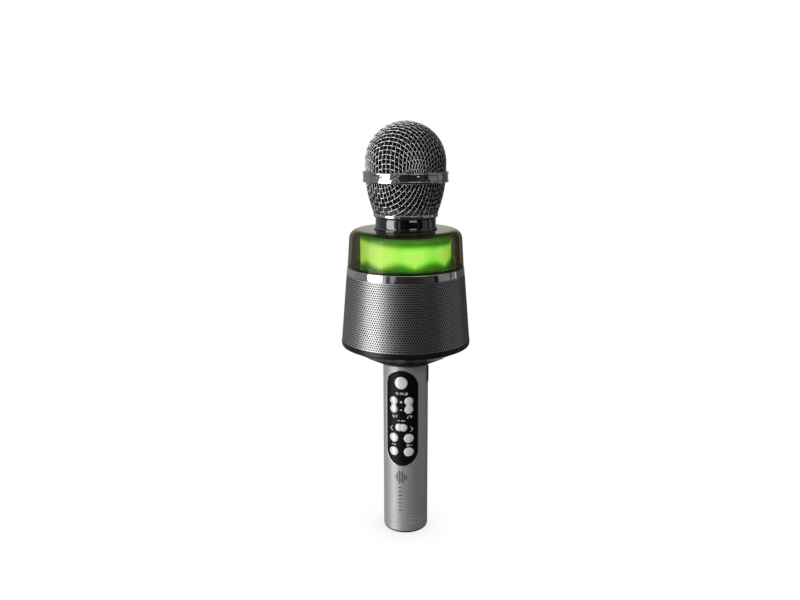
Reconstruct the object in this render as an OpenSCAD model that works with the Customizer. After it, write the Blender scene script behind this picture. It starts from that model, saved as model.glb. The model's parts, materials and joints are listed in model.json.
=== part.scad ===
// Handheld karaoke microphone with its own loudspeaker, light section and key panel.
// Millimetres. +Z runs up the handle to the grille ball, -Y is the key panel side and +X the
// charging socket side. The origin is the centre of the flat foot that it stands on.

/* [Handle] */
// Outer radius of the handle tube
handle_r = 14.2; // [14.1:0.1:14.5]
// Wall of the handle tube
handle_wall = 1.3; // [1.2:0.1:1.3]
// Height of the foot under the end cap
foot_h = 1.2; // [0.8:0.1:1.6]
// Height of the seam between end cap and tube
cap_seam_z = 10; // [9:0.5:11]
// Height where the tube enters the bottom cover
handle_top_z = 112; // [111.5:0.5:112]

/* [Speaker section] */
// Radius of the black rim, the widest point
rim_r = 40; // [39.8:0.1:41]
// Height where the grille stands on the rim
grille_low_z = 127.2; // [127.2:0.1:127.6]
// Outer radius of the grille at its foot
grille_low_r = 39.8; // [39.6:0.1:39.8]
// Outer radius of the grille at its top
grille_high_r = 36.4; // [36.2:0.1:36.6]
// Height of the grille's top edge
grille_high_z = 168; // [168:0.1:168.4]
// Sheet thickness of the grille
grille_sheet = 0.8; // [0.6:0.1:0.8]
// Number of ridges round the bottom cover
ridge_count = 5; // [0:1:6]

/* [Light section] */
// Outer radius of the light cover at its foot
cover_low_r = 35.7; // [35.6:0.1:35.8]
// Outer radius of the light cover at its shoulder
cover_high_r = 34.6; // [34.4:0.1:34.8]
// Radius of the cover's rounded shoulder
shoulder_r = 6; // [5:0.5:7]
// Height of the cover's flat top
cover_top_z = 195.5; // [195.5:0.1:195.7]
// Outer radius of the milky drum that glows
drum_r = 27.8; // [27:0.1:28.4]
// Number of lamps in the ring
led_count = 8; // [4:1:12]

/* [Head] */
// Outer radius of the neck collar
neck_r = 18.4; // [18.3:0.1:18.6]
// Radius of the grille ball
ball_r = 24.5; // [24.4:0.1:24.6]
// Overall height
total_h = 260; // [259.5:0.5:260.5]
// Outer radius of the polished band
band_r = 25.9; // [25.6:0.1:26.4]
// Thickness of the woven wire
mesh_t = 1.1; // [1:0.1:1.2]

/* [Keys] */
// Half width of the key panel
panel_half_w = 9.95; // [9.9:0.05:9.95]
// Lowest point of the key panel
panel_low_z = 46.4; // [46:0.2:47]
// Highest point of the key panel
panel_high_z = 109; // [109:0.2:109.4]
// Sideways place of the two key columns
key_x = 4.75; // [4.7:0.05:4.8]
// Radius of the power button
power_r = 4.05; // [3.8:0.05:4.1]
// Radius of the four round buttons
round_r = 2.95; // [2.8:0.05:3]
// How far a key stands out of the panel at its middle
key_proud = 0.75; // [0.5:0.05:0.9]

/* [Hidden] */
$fn = 96;

// Clearance between fixed pieces, and radial clearance of pieces that turn
fit = 0.05;
// Smallest overlap of a cutting tool past the face that it cuts
past = 1;
bore_r = handle_r - handle_wall;

// Seam and cut line on the end cap
groove_z = cap_seam_z - 3.3;
groove_depth = 0.22;
groove_half = 0.28;
cap_spigot_h = 6;

// Bottom cover
cover_foot_r = handle_r + 1.5;
cone_high_r = rim_r - 1.4;
cone_high_z = grille_low_z - 3.9;
cone_slope = (cone_high_z - handle_top_z) / (cone_high_r - cover_foot_r);
cone_wall = 2;
collar_bore_r = handle_r + fit;
collar_out_r = handle_r + 2;
collar_top_z = handle_top_z + 13;
tube_top_z = handle_top_z + 12;
ridge_low_r = cover_foot_r + 1.6;
ridge_pitch = 2.1;
ridge_h = 0.4;

// Speaker chassis
floor_r = grille_low_r - grille_sheet - 0.35;
floor_z = grille_low_z;
floor_t = 2;
deck_z = grille_high_z - 2.2;
deck_r = grille_high_r - grille_sheet - 0.3;
seat_z = grille_high_z + 4.4;
seat_r = cover_low_r - 2.05;
core_r = 12.4;
case_screw_r = 31;
ear_r = 28.5;
flange_z = floor_z + 6.8;
flange_t = 2;

// Light section
band_low_z = grille_high_z;
band_high_z = grille_high_z + 4.6;
cover_wall = 2;
board_t = 1.2;
drum_low_z = seat_z + board_t;
drum_high_z = cover_top_z - 4;
lamp_ring_r = 21;
lamp_turn = 23.5;

// Head
neck_low_z = cover_top_z;
neck_high_z = cover_top_z + 7.3;
thread_r = 16.9;
ring_low_z = neck_high_z + 0.4;
ring_high_z = ring_low_z + 2;
ring_r = neck_r + 1.3;
ball_z = total_h - ball_r;
mesh_low_z = ring_high_z + 0.05;
waist_z = ball_z - 8.5;
skirt_r = ball_r - 0.1;
stub_top_z = neck_high_z + 6.2;
cavity_r = 18.5;

// Key panel, from outside to inside
panel_r = handle_r - 0.1;
panel_back_y = -10.1;
flange_y = panel_back_y + fit;
key_flange_t = 0.5;
stem_y = -9.35;
plunger_y = -9.05;
switch_y = -8.6;
board_front_y = -7.6;
board_back_y = -6.6;
pin_y = -11;
pin_r = 0.45;
side_gap = 0.12;
tilt_gap = 0.3;
key_flange_extra = 0.35;
volume_z = 86.6;
lobe_r = 2.6;
lobe_off = 2.8;
waist_half = 1.5;
track_z = 72;
track_lobe_r = 2.5;
track_lobe_off = 1.4;
power_z = 101.2;
round_high_z = 64.9;
round_low_z = 55.8;
volume_stem_off = 3.2;
track_stem_off = 2.6;

// Cell and sockets inside the handle
cell_r = 9.1;
cell_y = 3.3;
cell_low_z = 18;
cell_len = 65;
port_z = 104;
port_half_h = 5;
port_half_w = 2.6;
aux_y = -1;
aux_z = 92;
card_y = 3.3;
card_z = 104;

// Solid of revolution from an outline in the radius-height plane
module turned(outline) {
    rotate_extrude() polygon(outline);
}

// Straight tube
module ring(inner, outer, low, high) {
    difference() {
        translate([0, 0, low]) cylinder(r = outer, h = high - low);
        translate([0, 0, low - past]) cylinder(r = inner, h = high - low + 2 * past);
    }
}

// Upright box from its corner limits
module block(x, y, z) {
    translate([x[0], y[0], z[0]]) cube([x[1] - x[0], y[1] - y[0], z[1] - z[0]]);
}

// Puts its children at equal steps round the axis
module around(count, radius, start = 0) {
    for (i = [0 : count - 1])
        rotate([0, 0, start + i * 360 / count]) translate([radius, 0, 0]) children();
}

// Flat shape in the x-z plane, drawn out along y
module along_y(y) {
    translate([0, y[1], 0]) rotate([90, 0, 0]) linear_extrude(y[1] - y[0]) children();
}

// Upright stadium with round ends
module stadium(half_w, low, high) {
    translate([0, low + half_w]) circle(r = half_w);
    translate([0, high - half_w]) circle(r = half_w);
    translate([-half_w, low + half_w]) square([2 * half_w, high - low - 2 * half_w]);
}

// Two-lobed key outline, lobes one above the other
module lobes(radius, off, waist) {
    for (side = [-1, 1]) translate([0, side * off]) circle(r = radius);
    translate([-waist, -off]) square([2 * waist, 2 * off]);
}

// Outline points of an arc from one angle to another
function arc(cx, cz, r, from, to, steps) =
    [for (i = [0 : steps]) let (a = from + (to - from) * i / steps) [cx + r * cos(a), cz + r * sin(a)]];

// ---- Grille head -----------------------------------------------------------------------------

// Outer radius of the lower basket at a height, a gentle bulge up to the band
function basket_r(z) =
    let (u = (z - mesh_low_z) / (waist_z - mesh_low_z)) ring_r + (skirt_r - 0.2 - ring_r) * sin(90 * u);

basket_heights = [for (i = [0 : 8]) mesh_low_z + (waist_z - 0.5 - mesh_low_z) * i / 8];

module upper_mesh() {
    color("lightgray") turned(concat(
        [[skirt_r - mesh_t, waist_z + 0.5], [skirt_r, waist_z + 0.5]],
        arc(0, ball_z, ball_r, 0, 90, 24),
        arc(0, ball_z, ball_r - mesh_t, 90, 0, 24)));
}

module lower_mesh() {
    color("lightgray") turned(concat(
        [for (z = basket_heights) [basket_r(z), z]],
        [for (i = [8 : -1 : 0]) [basket_r(basket_heights[i]) - mesh_t, basket_heights[i]]]));
}

module grille_band() {
    low = waist_z - 3.3;
    high = waist_z + 3.3;
    color("silver") turned([
        [skirt_r + fit, low], [band_r - 0.5, low], [band_r, low + 0.5], [band_r, high - 0.5],
        [band_r - 0.5, high], [skirt_r + fit, high], [skirt_r + fit, waist_z + 0.4],
        [skirt_r - mesh_t, waist_z + 0.4], [skirt_r - mesh_t, waist_z - 0.4], [skirt_r + fit, waist_z - 0.4]]);
}

module grille_base_ring() {
    sleeve_r = basket_r(mesh_low_z) - mesh_t - fit;
    color("silver") turned([
        [thread_r + 0.06, ring_low_z], [ring_r - 0.2, ring_low_z], [ring_r, ring_low_z + 0.2],
        [ring_r, ring_high_z - 0.2], [ring_r - 0.2, ring_high_z], [sleeve_r, ring_high_z],
        [sleeve_r, stub_top_z + 0.4], [thread_r + 0.06, stub_top_z + 0.4]]);
}

module foam_liner() {
    foam_r = skirt_r - mesh_t - 0.1;
    low = stub_top_z + 1;
    color("#1c1c1e") turned(concat(
        [[thread_r + 0.3, low], [basket_r(low) - mesh_t - 0.1, low]],
        [for (i = [2 : 7]) [basket_r(basket_heights[i]) - mesh_t - 0.1, basket_heights[i]]],
        arc(0, ball_z, foam_r, 0, 90, 20),
        arc(0, ball_z, cavity_r, 90, 0, 16)));
}

module head_washer() {
    color("dimgray") ring(thread_r + 0.1, ring_r - 0.5, neck_high_z + fit, ring_low_z - fit);
}

// ---- Capsule and neck ------------------------------------------------------------------------

capsule_r = 12.5;
capsule_low_z = stub_top_z + 7;
capsule_high_z = capsule_low_z + 16;

module capsule() {
    color("slategray") turned([
        [0, capsule_low_z], [capsule_r - 2, capsule_low_z], [capsule_r, capsule_low_z + 2],
        [capsule_r, capsule_high_z], [0, capsule_high_z]]);
}

module capsule_face() {
    face_top = capsule_high_z + 1;
    color("gold") difference() {
        translate([0, 0, capsule_high_z]) cylinder(r = capsule_r - 0.3, h = 1);
        for (row = [1 : 3]) around(6 * row, 3 * row) translate([0, 0, capsule_high_z - past])
            cylinder(r = 0.8, h = face_top - capsule_high_z + 2 * past);
    }
}

module shock_mount() {
    low = stub_top_z + 2;
    color("#202022") turned([
        [3, low], [capsule_r + 2.4, low], [capsule_r + 2.4, capsule_low_z + 5],
        [capsule_r + fit, capsule_low_z + 5], [capsule_r + fit, capsule_low_z - fit], [3, capsule_low_z - fit]]);
}

module capsule_post() {
    color("dimgray") turned([
        [2.6, neck_low_z + 4], [5.9, neck_low_z + 4], [5.9, stub_top_z], [14, stub_top_z],
        [14, stub_top_z + 2], [2.6, stub_top_z + 2]]);
}

module neck_collar() {
    lip_r = neck_r + 0.9;
    color("#2b2b2e") turned([
        [thread_r + fit, neck_low_z], [lip_r, neck_low_z], [lip_r, neck_low_z + 0.7],
        [neck_r + 0.3, neck_low_z + 1.3], [neck_r, neck_low_z + 1.8], [neck_r, neck_high_z - 0.5],
        [neck_r - 0.3, neck_high_z], [thread_r + fit, neck_high_z]]);
}

module neck_core() {
    under = cover_top_z - cover_wall;
    color("#262628") difference() {
        union() {
            translate([0, 0, drum_high_z + fit]) cylinder(r = 21, h = under - drum_high_z - 2 * fit);
            translate([0, 0, drum_high_z + fit]) cylinder(r = thread_r, h = stub_top_z - drum_high_z - fit);
        }
        translate([0, 0, drum_high_z - past]) cylinder(r = 14.6, h = stub_top_z - drum_high_z - past);
        translate([0, 0, stub_top_z - 2 * past - 1]) cylinder(r = 5.95, h = 5);
    }
}

// ---- Light section ---------------------------------------------------------------------------

module light_cover() {
    fillet_z = cover_top_z - shoulder_r;
    inner_r = shoulder_r - cover_wall;
    shoulder_x = cover_high_r - shoulder_r;
    hole_r = thread_r + 0.1;
    color([0.35, 0.33, 0.3, 0.5]) turned(concat(
        [[cover_low_r - cover_wall, band_high_z], [cover_low_r, band_high_z]],
        arc(shoulder_x, fillet_z, shoulder_r, 0, 90, 12),
        [[hole_r, cover_top_z], [hole_r, cover_top_z - cover_wall]],
        arc(shoulder_x, fillet_z, inner_r, 90, 0, 10)));
}

module light_diffuser() {
    wall = 1.5;
    color([0.55, 0.95, 0.35, 0.9]) turned([
        [drum_r - wall, drum_low_z], [drum_r, drum_low_z], [drum_r, drum_high_z - 1],
        [drum_r - 1, drum_high_z], [core_r + 0.1, drum_high_z], [core_r + 0.1, drum_high_z - wall],
        [drum_r - wall, drum_high_z - wall]]);
}

module led_board() {
    color("seagreen") ring(core_r + 0.1, cover_low_r - cover_wall - 0.7, seat_z, seat_z + board_t);
}

module leds() {
    lamp = 5;
    color("palegreen") around(led_count, lamp_ring_r, lamp_turn)
        translate([-lamp / 2, -lamp / 2, seat_z + board_t]) cube([lamp, lamp, 1.6]);
}

module light_core() {
    color("whitesmoke") ring(core_r - 2, core_r, grille_high_z, drum_high_z - fit);
}

module trim_band() {
    inner = seat_r + fit;
    color("silver") turned([
        [inner, band_low_z], [grille_high_r - 0.2, band_low_z], [grille_high_r, band_low_z + 0.2],
        [cover_low_r + 0.3, band_high_z - 0.2], [cover_low_r + 0.1, band_high_z], [inner, band_high_z]]);
}

// ---- Speaker section -------------------------------------------------------------------------

module speaker_grille() {
    color("#55565a") turned([
        [grille_low_r - grille_sheet, grille_low_z], [grille_low_r, grille_low_z],
        [grille_high_r, grille_high_z], [grille_high_r - grille_sheet, grille_high_z]]);
}

module grille_cloth() {
    out = grille_sheet + 0.1;
    inn = out + 0.5;
    low = floor_z + floor_t + fit;
    high = deck_z - fit;
    function skin(z, depth) =
        grille_low_r - depth - (grille_low_r - grille_high_r) * (z - grille_low_z) / (grille_high_z - grille_low_z);
    color("#111112") turned([
        [skin(low, inn), low], [skin(low, out), low], [skin(high, out), high], [skin(high, inn), high]]);
}

module speaker_chassis() {
    color("#2a2a2c") difference() {
        union() {
            ring(14, floor_r, floor_z, floor_z + floor_t);
            ring(core_r + 0.1, deck_r, deck_z, grille_high_z);
            ring(seat_r - 2.4, seat_r, grille_high_z - past, seat_z);
            ring(core_r + 0.1, core_r + 3, grille_high_z - past, seat_z);
            around(4, ear_r, 45) translate([0, 0, floor_z]) cylinder(r = 2.6, h = flange_z - floor_z);
            around(4, 32) block([-1.6, 1.6], [-2, 2], [floor_z, grille_high_z]);
        }
        around(4, case_screw_r, 20) translate([0, 0, floor_z - past]) cylinder(r = 1.27, h = floor_t + 2 * past);
        around(4, ear_r, 45) translate([0, 0, floor_z + past]) cylinder(r = 0.82, h = flange_z);
    }
}

module driver_basket() {
    seat = flange_z;
    neck_z = seat + 14;
    color("#3a3a3c") difference() {
        union() {
            turned([
                [24.2, seat], [27, seat], [27, seat + flange_t], [25.4, seat + flange_t], [15, neck_z],
                [15, neck_z + 2], [8, neck_z + 2], [8, neck_z], [13.4, neck_z], [24.2, seat + flange_t]]);
            difference() {
                around(4, ear_r, 45) translate([0, 0, seat]) cylinder(r = 2.6, h = flange_t);
                translate([0, 0, seat - past]) cylinder(r = 25, h = flange_t + 2 * past);
            }
        }
        around(4, ear_r, 45) translate([0, 0, seat - past]) cylinder(r = 0.85, h = flange_t + 2 * past);
        for (turn = [0, 90]) rotate([0, 90, turn]) translate([-seat - 8, 0, -30]) cylinder(r = 3.6, h = 60);
    }
}

module driver_magnet() {
    low = flange_z + 16;
    color("#4b4c50") turned([
        [0, low - 4], [5.2, low - 4], [5.2, low + 5], [7.2, low + 5], [7.2, low], [16, low], [16, low + 7],
        [13, low + 7], [13, low + 9], [0, low + 9]]);
}

module driver_cone() {
    top = flange_z + 10;
    rim_z = flange_z + 2.4;
    color("#161617") turned([
        [6, top - 1], [6.4, top - 1], [20.2, rim_z], [20.2, rim_z + 0.6], [6.4, top], [6.4, top + 5], [6, top + 5]]);
}

module driver_surround() {
    mid = 22.2;
    base = flange_z + 2;
    color("#0e0e0f") turned(concat(
        arc(mid, base, 1.95, 180, 360, 16),
        arc(mid, base, 1.45, 360, 180, 16)));
}

module dust_cap() {
    rim = 7.4;
    rim_h = 8.4;
    outer = 9.4;
    centre_z = flange_z + rim_h + sqrt(outer * outer - rim * rim);
    color("#1b1b1c") intersection() {
        difference() {
            translate([0, 0, centre_z]) sphere(r = outer);
            translate([0, 0, centre_z]) sphere(r = outer - 0.5);
        }
        translate([0, 0, flange_z]) cylinder(r = rim + past, h = rim_h);
    }
}

module driver_screws() {
    color("silver") around(4, ear_r, 45) {
        translate([0, 0, flange_z + flange_t]) cylinder(r = 1.5, h = 1);
        translate([0, 0, flange_z - 4]) cylinder(r = 0.8, h = flange_t + 4.5);
    }
}

// Height of the bottom cover's plain cone at a radius
function cone_z(r) = handle_top_z + cone_slope * (r - cover_foot_r);

// Outline of the bottom cover's outside, from the handle out to the top of the rim
function cover_outline() = concat(
    [[cover_foot_r, handle_top_z]],
    [for (i = [0 : 1 : ridge_count - 1], step = [[0, 0], [0.25, 1], [1.05, 1], [1.3, 0]])
        let (r = ridge_low_r + i * ridge_pitch + step[0]) [r, cone_z(r) - ridge_h * step[1]]],
    [[cone_high_r, cone_high_z]],
    arc(rim_r - 1.2, grille_low_z - 2.6, 1.2, -70, 0, 6),
    arc(rim_r - 0.8, grille_low_z - 0.8, 0.8, 0, 60, 5),
    [[rim_r - 0.8, grille_low_z]]);

module bottom_cover() {
    inner_low_z = cone_z(collar_out_r) + cone_wall;
    wall_r = rim_r - 3.4;
    color("#141415") difference() {
        union() {
            turned(concat(cover_outline(), [
                [wall_r, grille_low_z], [wall_r, cone_z(wall_r) + cone_wall], [collar_out_r, inner_low_z],
                [collar_out_r, collar_top_z], [collar_bore_r, collar_top_z], [collar_bore_r, handle_top_z]]));
            intersection() {
                turned(concat(cover_outline(), [[collar_bore_r, grille_low_z], [collar_bore_r, handle_top_z]]));
                around(4, case_screw_r, 20) translate([0, 0, handle_top_z])
                    cylinder(r = 3, h = grille_low_z - handle_top_z);
            }
        }
        around(4, case_screw_r, 20) translate([0, 0, grille_low_z - 4.4]) cylinder(r = 1.27, h = 4.4 + past);
    }
}

module chassis_screws() {
    color("silver") around(4, case_screw_r, 20) {
        translate([0, 0, floor_z + floor_t]) cylinder(r = 2.4, h = 1.6);
        translate([0, 0, floor_z - 4]) cylinder(r = 1.25, h = floor_t + 4.5);
    }
}

// ---- Handle ----------------------------------------------------------------------------------

module handle_tube() {
    step = 0.3;
    color("#6d6e72") difference() {
        turned([
            [bore_r, cap_seam_z], [handle_r - groove_depth, cap_seam_z], [handle_r, cap_seam_z + groove_half],
            [handle_r, tube_top_z], [bore_r, tube_top_z]]);
        along_y([-handle_r - past, 0]) stadium(panel_half_w, panel_low_z, panel_high_z);
        difference() {
            along_y([-handle_r - past, 0]) stadium(panel_half_w + step, panel_low_z - step, panel_high_z + step);
            translate([0, 0, panel_low_z - past]) cylinder(r = handle_r - step, h = panel_high_z - panel_low_z + 2);
        }
        block([0, handle_r + past], [-port_half_w, port_half_w], [port_z - port_half_h, port_z + port_half_h]);
        translate([0, aux_y, aux_z]) rotate([0, -90, 0]) cylinder(r = 3, h = handle_r + past);
        block([-handle_r - past, 0], [card_y - 0.75, card_y + 0.75], [card_z - 5.8, card_z + 5.8]);
    }
}

module end_cap() {
    floor_z = foot_h + 2.9;
    color("#6d6e72") turned([
        [11.65, foot_h], [handle_r - 0.25, foot_h], [handle_r, foot_h + 0.4],
        [handle_r, groove_z - groove_half], [handle_r - groove_depth, groove_z], [handle_r, groove_z + groove_half],
        [handle_r, cap_seam_z - groove_half], [handle_r - groove_depth, cap_seam_z], [bore_r - fit, cap_seam_z],
        [bore_r - fit, cap_seam_z + cap_spigot_h], [11.4, cap_seam_z + cap_spigot_h], [11.4, floor_z + 1.5],
        [0, floor_z + 1.5], [0, floor_z], [11.65, floor_z]]);
}

module base_plug() {
    color("#0f0f10") turned([
        [0, 0], [handle_r - 0.9, 0], [handle_r - 0.35, 0.5], [handle_r - 0.35, foot_h], [11.6, foot_h],
        [11.6, foot_h + 2.8], [0, foot_h + 2.8]]);
}

// Carrier that fills the handle round the cell and backs the main board
module inner_carrier() {
    low = cap_seam_z + cap_spigot_h + 0.5;
    high = handle_top_z - 1;
    socket_low_z = cell_low_z + cell_len + 3;
    color("#303033") difference() {
        union() {
            intersection() {
                translate([0, 0, low]) cylinder(r = bore_r - 0.1, h = high - low);
                difference() {
                    block([-20, 20], [board_back_y, 2], [low, high]);
                    translate([0, cell_y, low + 1]) cylinder(r = cell_r + 0.15, h = socket_low_z - low - 1);
                    block([-20, 20], [board_back_y + 1.5, 20], [socket_low_z, high + past]);
                }
            }
            for (side = [-1, 1]) translate([side * 8.2, 0, 107]) along_y([board_back_y, -2.6]) circle(r = 2);
        }
        for (side = [-1, 1], z = [50.5, 107])
            translate([side * 8.2, 0, z]) along_y([board_back_y - past, -3]) circle(r = 0.78);
    }
}

module main_board() {
    color("darkgreen") difference() {
        block([-10, 10], [board_front_y, board_back_y], [panel_low_z + 0.6, panel_high_z + 1]);
        for (side = [-1, 1], z = [50.5, 107])
            translate([side * 8.2, 0, z]) along_y([board_front_y - past, board_back_y + past]) circle(r = 0.78);
    }
}

module board_screws() {
    color("silver") for (side = [-1, 1], z = [50.5, 107]) translate([side * 8.2, 0, z]) {
        along_y([board_front_y - 0.8, board_front_y]) circle(r = 1.35);
        along_y([board_front_y - 0.4, -3.2]) circle(r = 0.75);
    }
}

module audio_chips() {
    color("#1a1a1b") {
        block([-3.4, 3.4], [board_front_y - 0.9, board_front_y], [93.4, 97.4]);
        block([-2, 2], [board_front_y - 0.9, board_front_y], [82.4, 89.4]);
        block([-2, 2], [board_front_y - 0.7, board_front_y], [57.4, 63.4]);
    }
}

// Places of the key switches on the board
switch_spots = concat(
    [[0, power_z]],
    [for (sx = [-1, 1], sz = [-1, 1]) [sx * key_x, volume_z + sz * volume_stem_off]],
    [for (sx = [-1, 1]) [sx * track_stem_off, track_z]],
    [for (sx = [-1, 1], z = [round_high_z, round_low_z]) [sx * key_x, z]]);

module tact_switches() {
    color("#8a8a8e") for (spot = switch_spots) translate([spot[0], 0, spot[1]]) {
        block([-2, 2], [switch_y, board_front_y], [-2, 2]);
        along_y([plunger_y, switch_y + 0.2]) circle(r = 0.9);
    }
}

module battery_cell() {
    top = cell_low_z + cell_len;
    color("#2d6ea3") translate([0, cell_y, 0]) turned([
        [0, cell_low_z], [cell_r - 0.4, cell_low_z], [cell_r, cell_low_z + 0.4], [cell_r, top - 0.8],
        [cell_r - 0.6, top], [3, top], [3, top + 0.8], [0, top + 0.8]]);
}

// ---- Sockets and wiring ----------------------------------------------------------------------

module port_board() {
    color("darkgreen") block([-11.4, 11.4], [1.5, 2.5], [88, 110]);
}

module usb_socket() {
    half_h = 3.8;
    mouth_x = handle_r - 0.5;
    color("silver") difference() {
        block([mouth_x - 6, mouth_x], [-1.4, 1.45], [port_z - half_h, port_z + half_h]);
        difference() {
            block([mouth_x - 5, mouth_x + past], [-1.1, 1.15], [port_z - half_h + 0.3, port_z + half_h - 0.3]);
            block([mouth_x - 6, mouth_x - 1], [-0.4, 0.4], [port_z - 2.6, port_z + 2.6]);
        }
    }
}

module port_bezel() {
    slack = 0.05;
    color("#0c0c0d") difference() {
        intersection() {
            block([bore_r - 0.2, handle_r + past], [slack - port_half_w, port_half_w - slack],
                [port_z - port_half_h + slack, port_z + port_half_h - slack]);
            translate([0, 0, port_z - port_half_h]) cylinder(r = handle_r + 0.3, h = 2 * port_half_h);
        }
        block([0, 20], [-1.5, 1.55], [port_z - 3.9, port_z + 3.9]);
    }
}

module aux_socket() {
    color("#1e1e20") difference() {
        union() {
            block([0.7 - bore_r, -2.4], [aux_y - 2.5, 1.45], [aux_z - 2.5, aux_z + 2.5]);
            translate([1.3 - bore_r, aux_y, aux_z]) rotate([0, -90, 0]) cylinder(r = 2.95, h = 2);
        }
        translate([-3, aux_y, aux_z]) rotate([0, -90, 0]) cylinder(r = 1.75, h = handle_r);
    }
}

module card_socket() {
    color("silver") difference() {
        block([-12.4, 1], [2.55, card_y + 0.75], [card_z - 5.9, card_z + 5.9]);
        block([-13, 0], [2.85, card_y + 0.45], [card_z - 5.5, card_z + 5.5]);
    }
}

// Straight round cord between two points
module cord(a, b, r) {
    way = b - a;
    flat = norm([way[0], way[1]]);
    translate(a) rotate([0, atan2(flat, way[2]), atan2(way[1], way[0])]) cylinder(r = r, h = norm(way), $fn = 32);
}

module wiring() {
    loom_r = 1.1;
    side = [-31, 11.3];
    low = flange_z - 2.4;
    high = deck_z - 2.4;
    path = [
        [0, -3.3, 97], [0, -3.3, low], [side[0], side[1], low], [side[0], side[1], high],
        [0, 0, high], [0, 0, capsule_low_z - 1]];
    color("#b02a2a") {
        for (i = [0 : len(path) - 2]) cord(path[i], path[i + 1], loom_r);
        for (i = [1 : len(path) - 2]) translate(path[i]) sphere(r = loom_r + 0.15, $fn = 32);
    }
}

// ---- Key panel -------------------------------------------------------------------------------

// Stadium hole for a two-lobed key, wider by the side gap and longer by the tilt gap
module lobe_hole(radius, off) {
    lobes(radius + side_gap, off + tilt_gap - side_gap, radius + side_gap);
}

module control_panel() {
    color("#0a0a0b") difference() {
        intersection() {
            along_y([-handle_r - past, -past]) stadium(panel_half_w - fit, panel_low_z + fit, panel_high_z - fit);
            difference() {
                translate([0, 0, panel_low_z]) cylinder(r = panel_r, h = panel_high_z - panel_low_z);
                intersection() {
                    translate([0, 0, panel_low_z - past]) cylinder(r = bore_r + fit, h = panel_high_z);
                    block([-20, 20], [panel_back_y, 20], [panel_low_z - past, panel_high_z + past]);
                }
            }
        }
        translate([0, 0, power_z]) along_y([-20, 0]) circle(r = power_r + side_gap);
        for (side = [-1, 1]) translate([side * key_x, 0, 0]) {
            for (z = [round_high_z, round_low_z])
                translate([0, 0, z]) along_y([-20, 0]) circle(r = round_r + side_gap);
            translate([0, 0, volume_z]) along_y([-20, 0]) lobe_hole(lobe_r, lobe_off);
        }
        translate([0, 0, track_z]) along_y([-20, 0]) rotate(90) lobe_hole(track_lobe_r, track_lobe_off);
        for (side = [-1, 1]) volume_pin(side, pin_r + 0.02);
        track_pin(pin_r + 0.02);
    }
}

// Pin of a volume rocker, longer on its inner side where the panel is thick
module volume_pin(side, r) {
    inner_x = key_x - 3.75;
    outer_x = key_x + 3.15;
    translate([side * inner_x, pin_y, volume_z]) rotate([0, side * 90, 0]) cylinder(r = r, h = outer_x - inner_x);
}

module track_pin(r) {
    half = 3.6;
    translate([0, pin_y, track_z - half]) cylinder(r = r, h = 2 * half);
}

module rocker_pins() {
    color("silver") {
        for (side = [-1, 1]) volume_pin(side, pin_r);
        track_pin(pin_r);
    }
}

// Round push button: domed top square to the panel, guide, flange behind the panel and stem
module push_button(x, z, r, dome_r) {
    top_r = panel_r + key_proud;
    lean = asin(x / panel_r);
    color("gainsboro") translate([0, 0, z]) {
        intersection() {
            translate([x, 0, 0]) along_y([-top_r - past, flange_y + 0.2]) circle(r = r);
            rotate([0, 0, lean]) translate([0, dome_r - top_r, 0]) sphere(r = dome_r);
        }
        translate([x, 0, 0]) along_y([flange_y, flange_y + key_flange_t]) circle(r = r + key_flange_extra);
        translate([x, 0, 0]) along_y([flange_y + 0.2, stem_y]) circle(r = 1);
    }
}

// Two-lobed volume key at x, with a bore for its pin
module volume_rocker(x) {
    color("gainsboro") translate([x, 0, volume_z]) difference() {
        union() {
            intersection() {
                along_y([-handle_r - 2, panel_back_y + 0.5]) lobes(lobe_r, lobe_off, waist_half);
                translate([-x, 0, -10]) cylinder(r = panel_r + key_proud, h = 20);
            }
            for (side = [-1, 1])
                translate([0, 0, side * volume_stem_off]) along_y([panel_back_y, stem_y]) circle(r = 0.8);
        }
        translate([0, pin_y, 0]) rotate([0, 90, 0]) cylinder(r = pin_r + fit, h = 10, center = true);
    }
}

module track_rocker() {
    color("gainsboro") translate([0, 0, track_z]) difference() {
        union() {
            intersection() {
                along_y([-handle_r - 2, panel_back_y + 0.5]) rotate(90)
                    lobes(track_lobe_r, track_lobe_off, waist_half);
                translate([0, 0, -10]) cylinder(r = panel_r + key_proud, h = 20);
            }
            for (side = [-1, 1])
                translate([side * track_stem_off, 0, 0]) along_y([panel_back_y, stem_y]) circle(r = 0.8);
        }
        translate([0, pin_y, 0]) cylinder(r = pin_r + fit, h = 10, center = true);
    }
}

module power_button() { push_button(0, power_z, power_r, 11); }
module mic_volume_rocker() { volume_rocker(-key_x); }
module music_volume_rocker() { volume_rocker(key_x); }
module play_button() { push_button(-key_x, round_high_z, round_r, 8.5); }
module mode_button() { push_button(key_x, round_high_z, round_r, 8.5); }
module effects_button() { push_button(-key_x, round_low_z, round_r, 8.5); }
module light_button() { push_button(key_x, round_low_z, round_r, 8.5); }

upper_mesh();
lower_mesh();
grille_band();
grille_base_ring();
foam_liner();
head_washer();
capsule();
capsule_face();
shock_mount();
capsule_post();
neck_collar();
neck_core();
light_cover();
light_diffuser();
led_board();
leds();
light_core();
trim_band();
speaker_grille();
grille_cloth();
speaker_chassis();
driver_basket();
driver_magnet();
driver_cone();
driver_surround();
dust_cap();
driver_screws();
bottom_cover();
chassis_screws();
handle_tube();
control_panel();
rocker_pins();
inner_carrier();
main_board();
audio_chips();
tact_switches();
board_screws();
battery_cell();
port_board();
usb_socket();
port_bezel();
aux_socket();
card_socket();
wiring();
end_cap();
base_plug();
power_button();
mic_volume_rocker();
music_volume_rocker();
track_rocker();
play_button();
mode_button();
effects_button();
light_button();
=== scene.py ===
import json
import math

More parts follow.
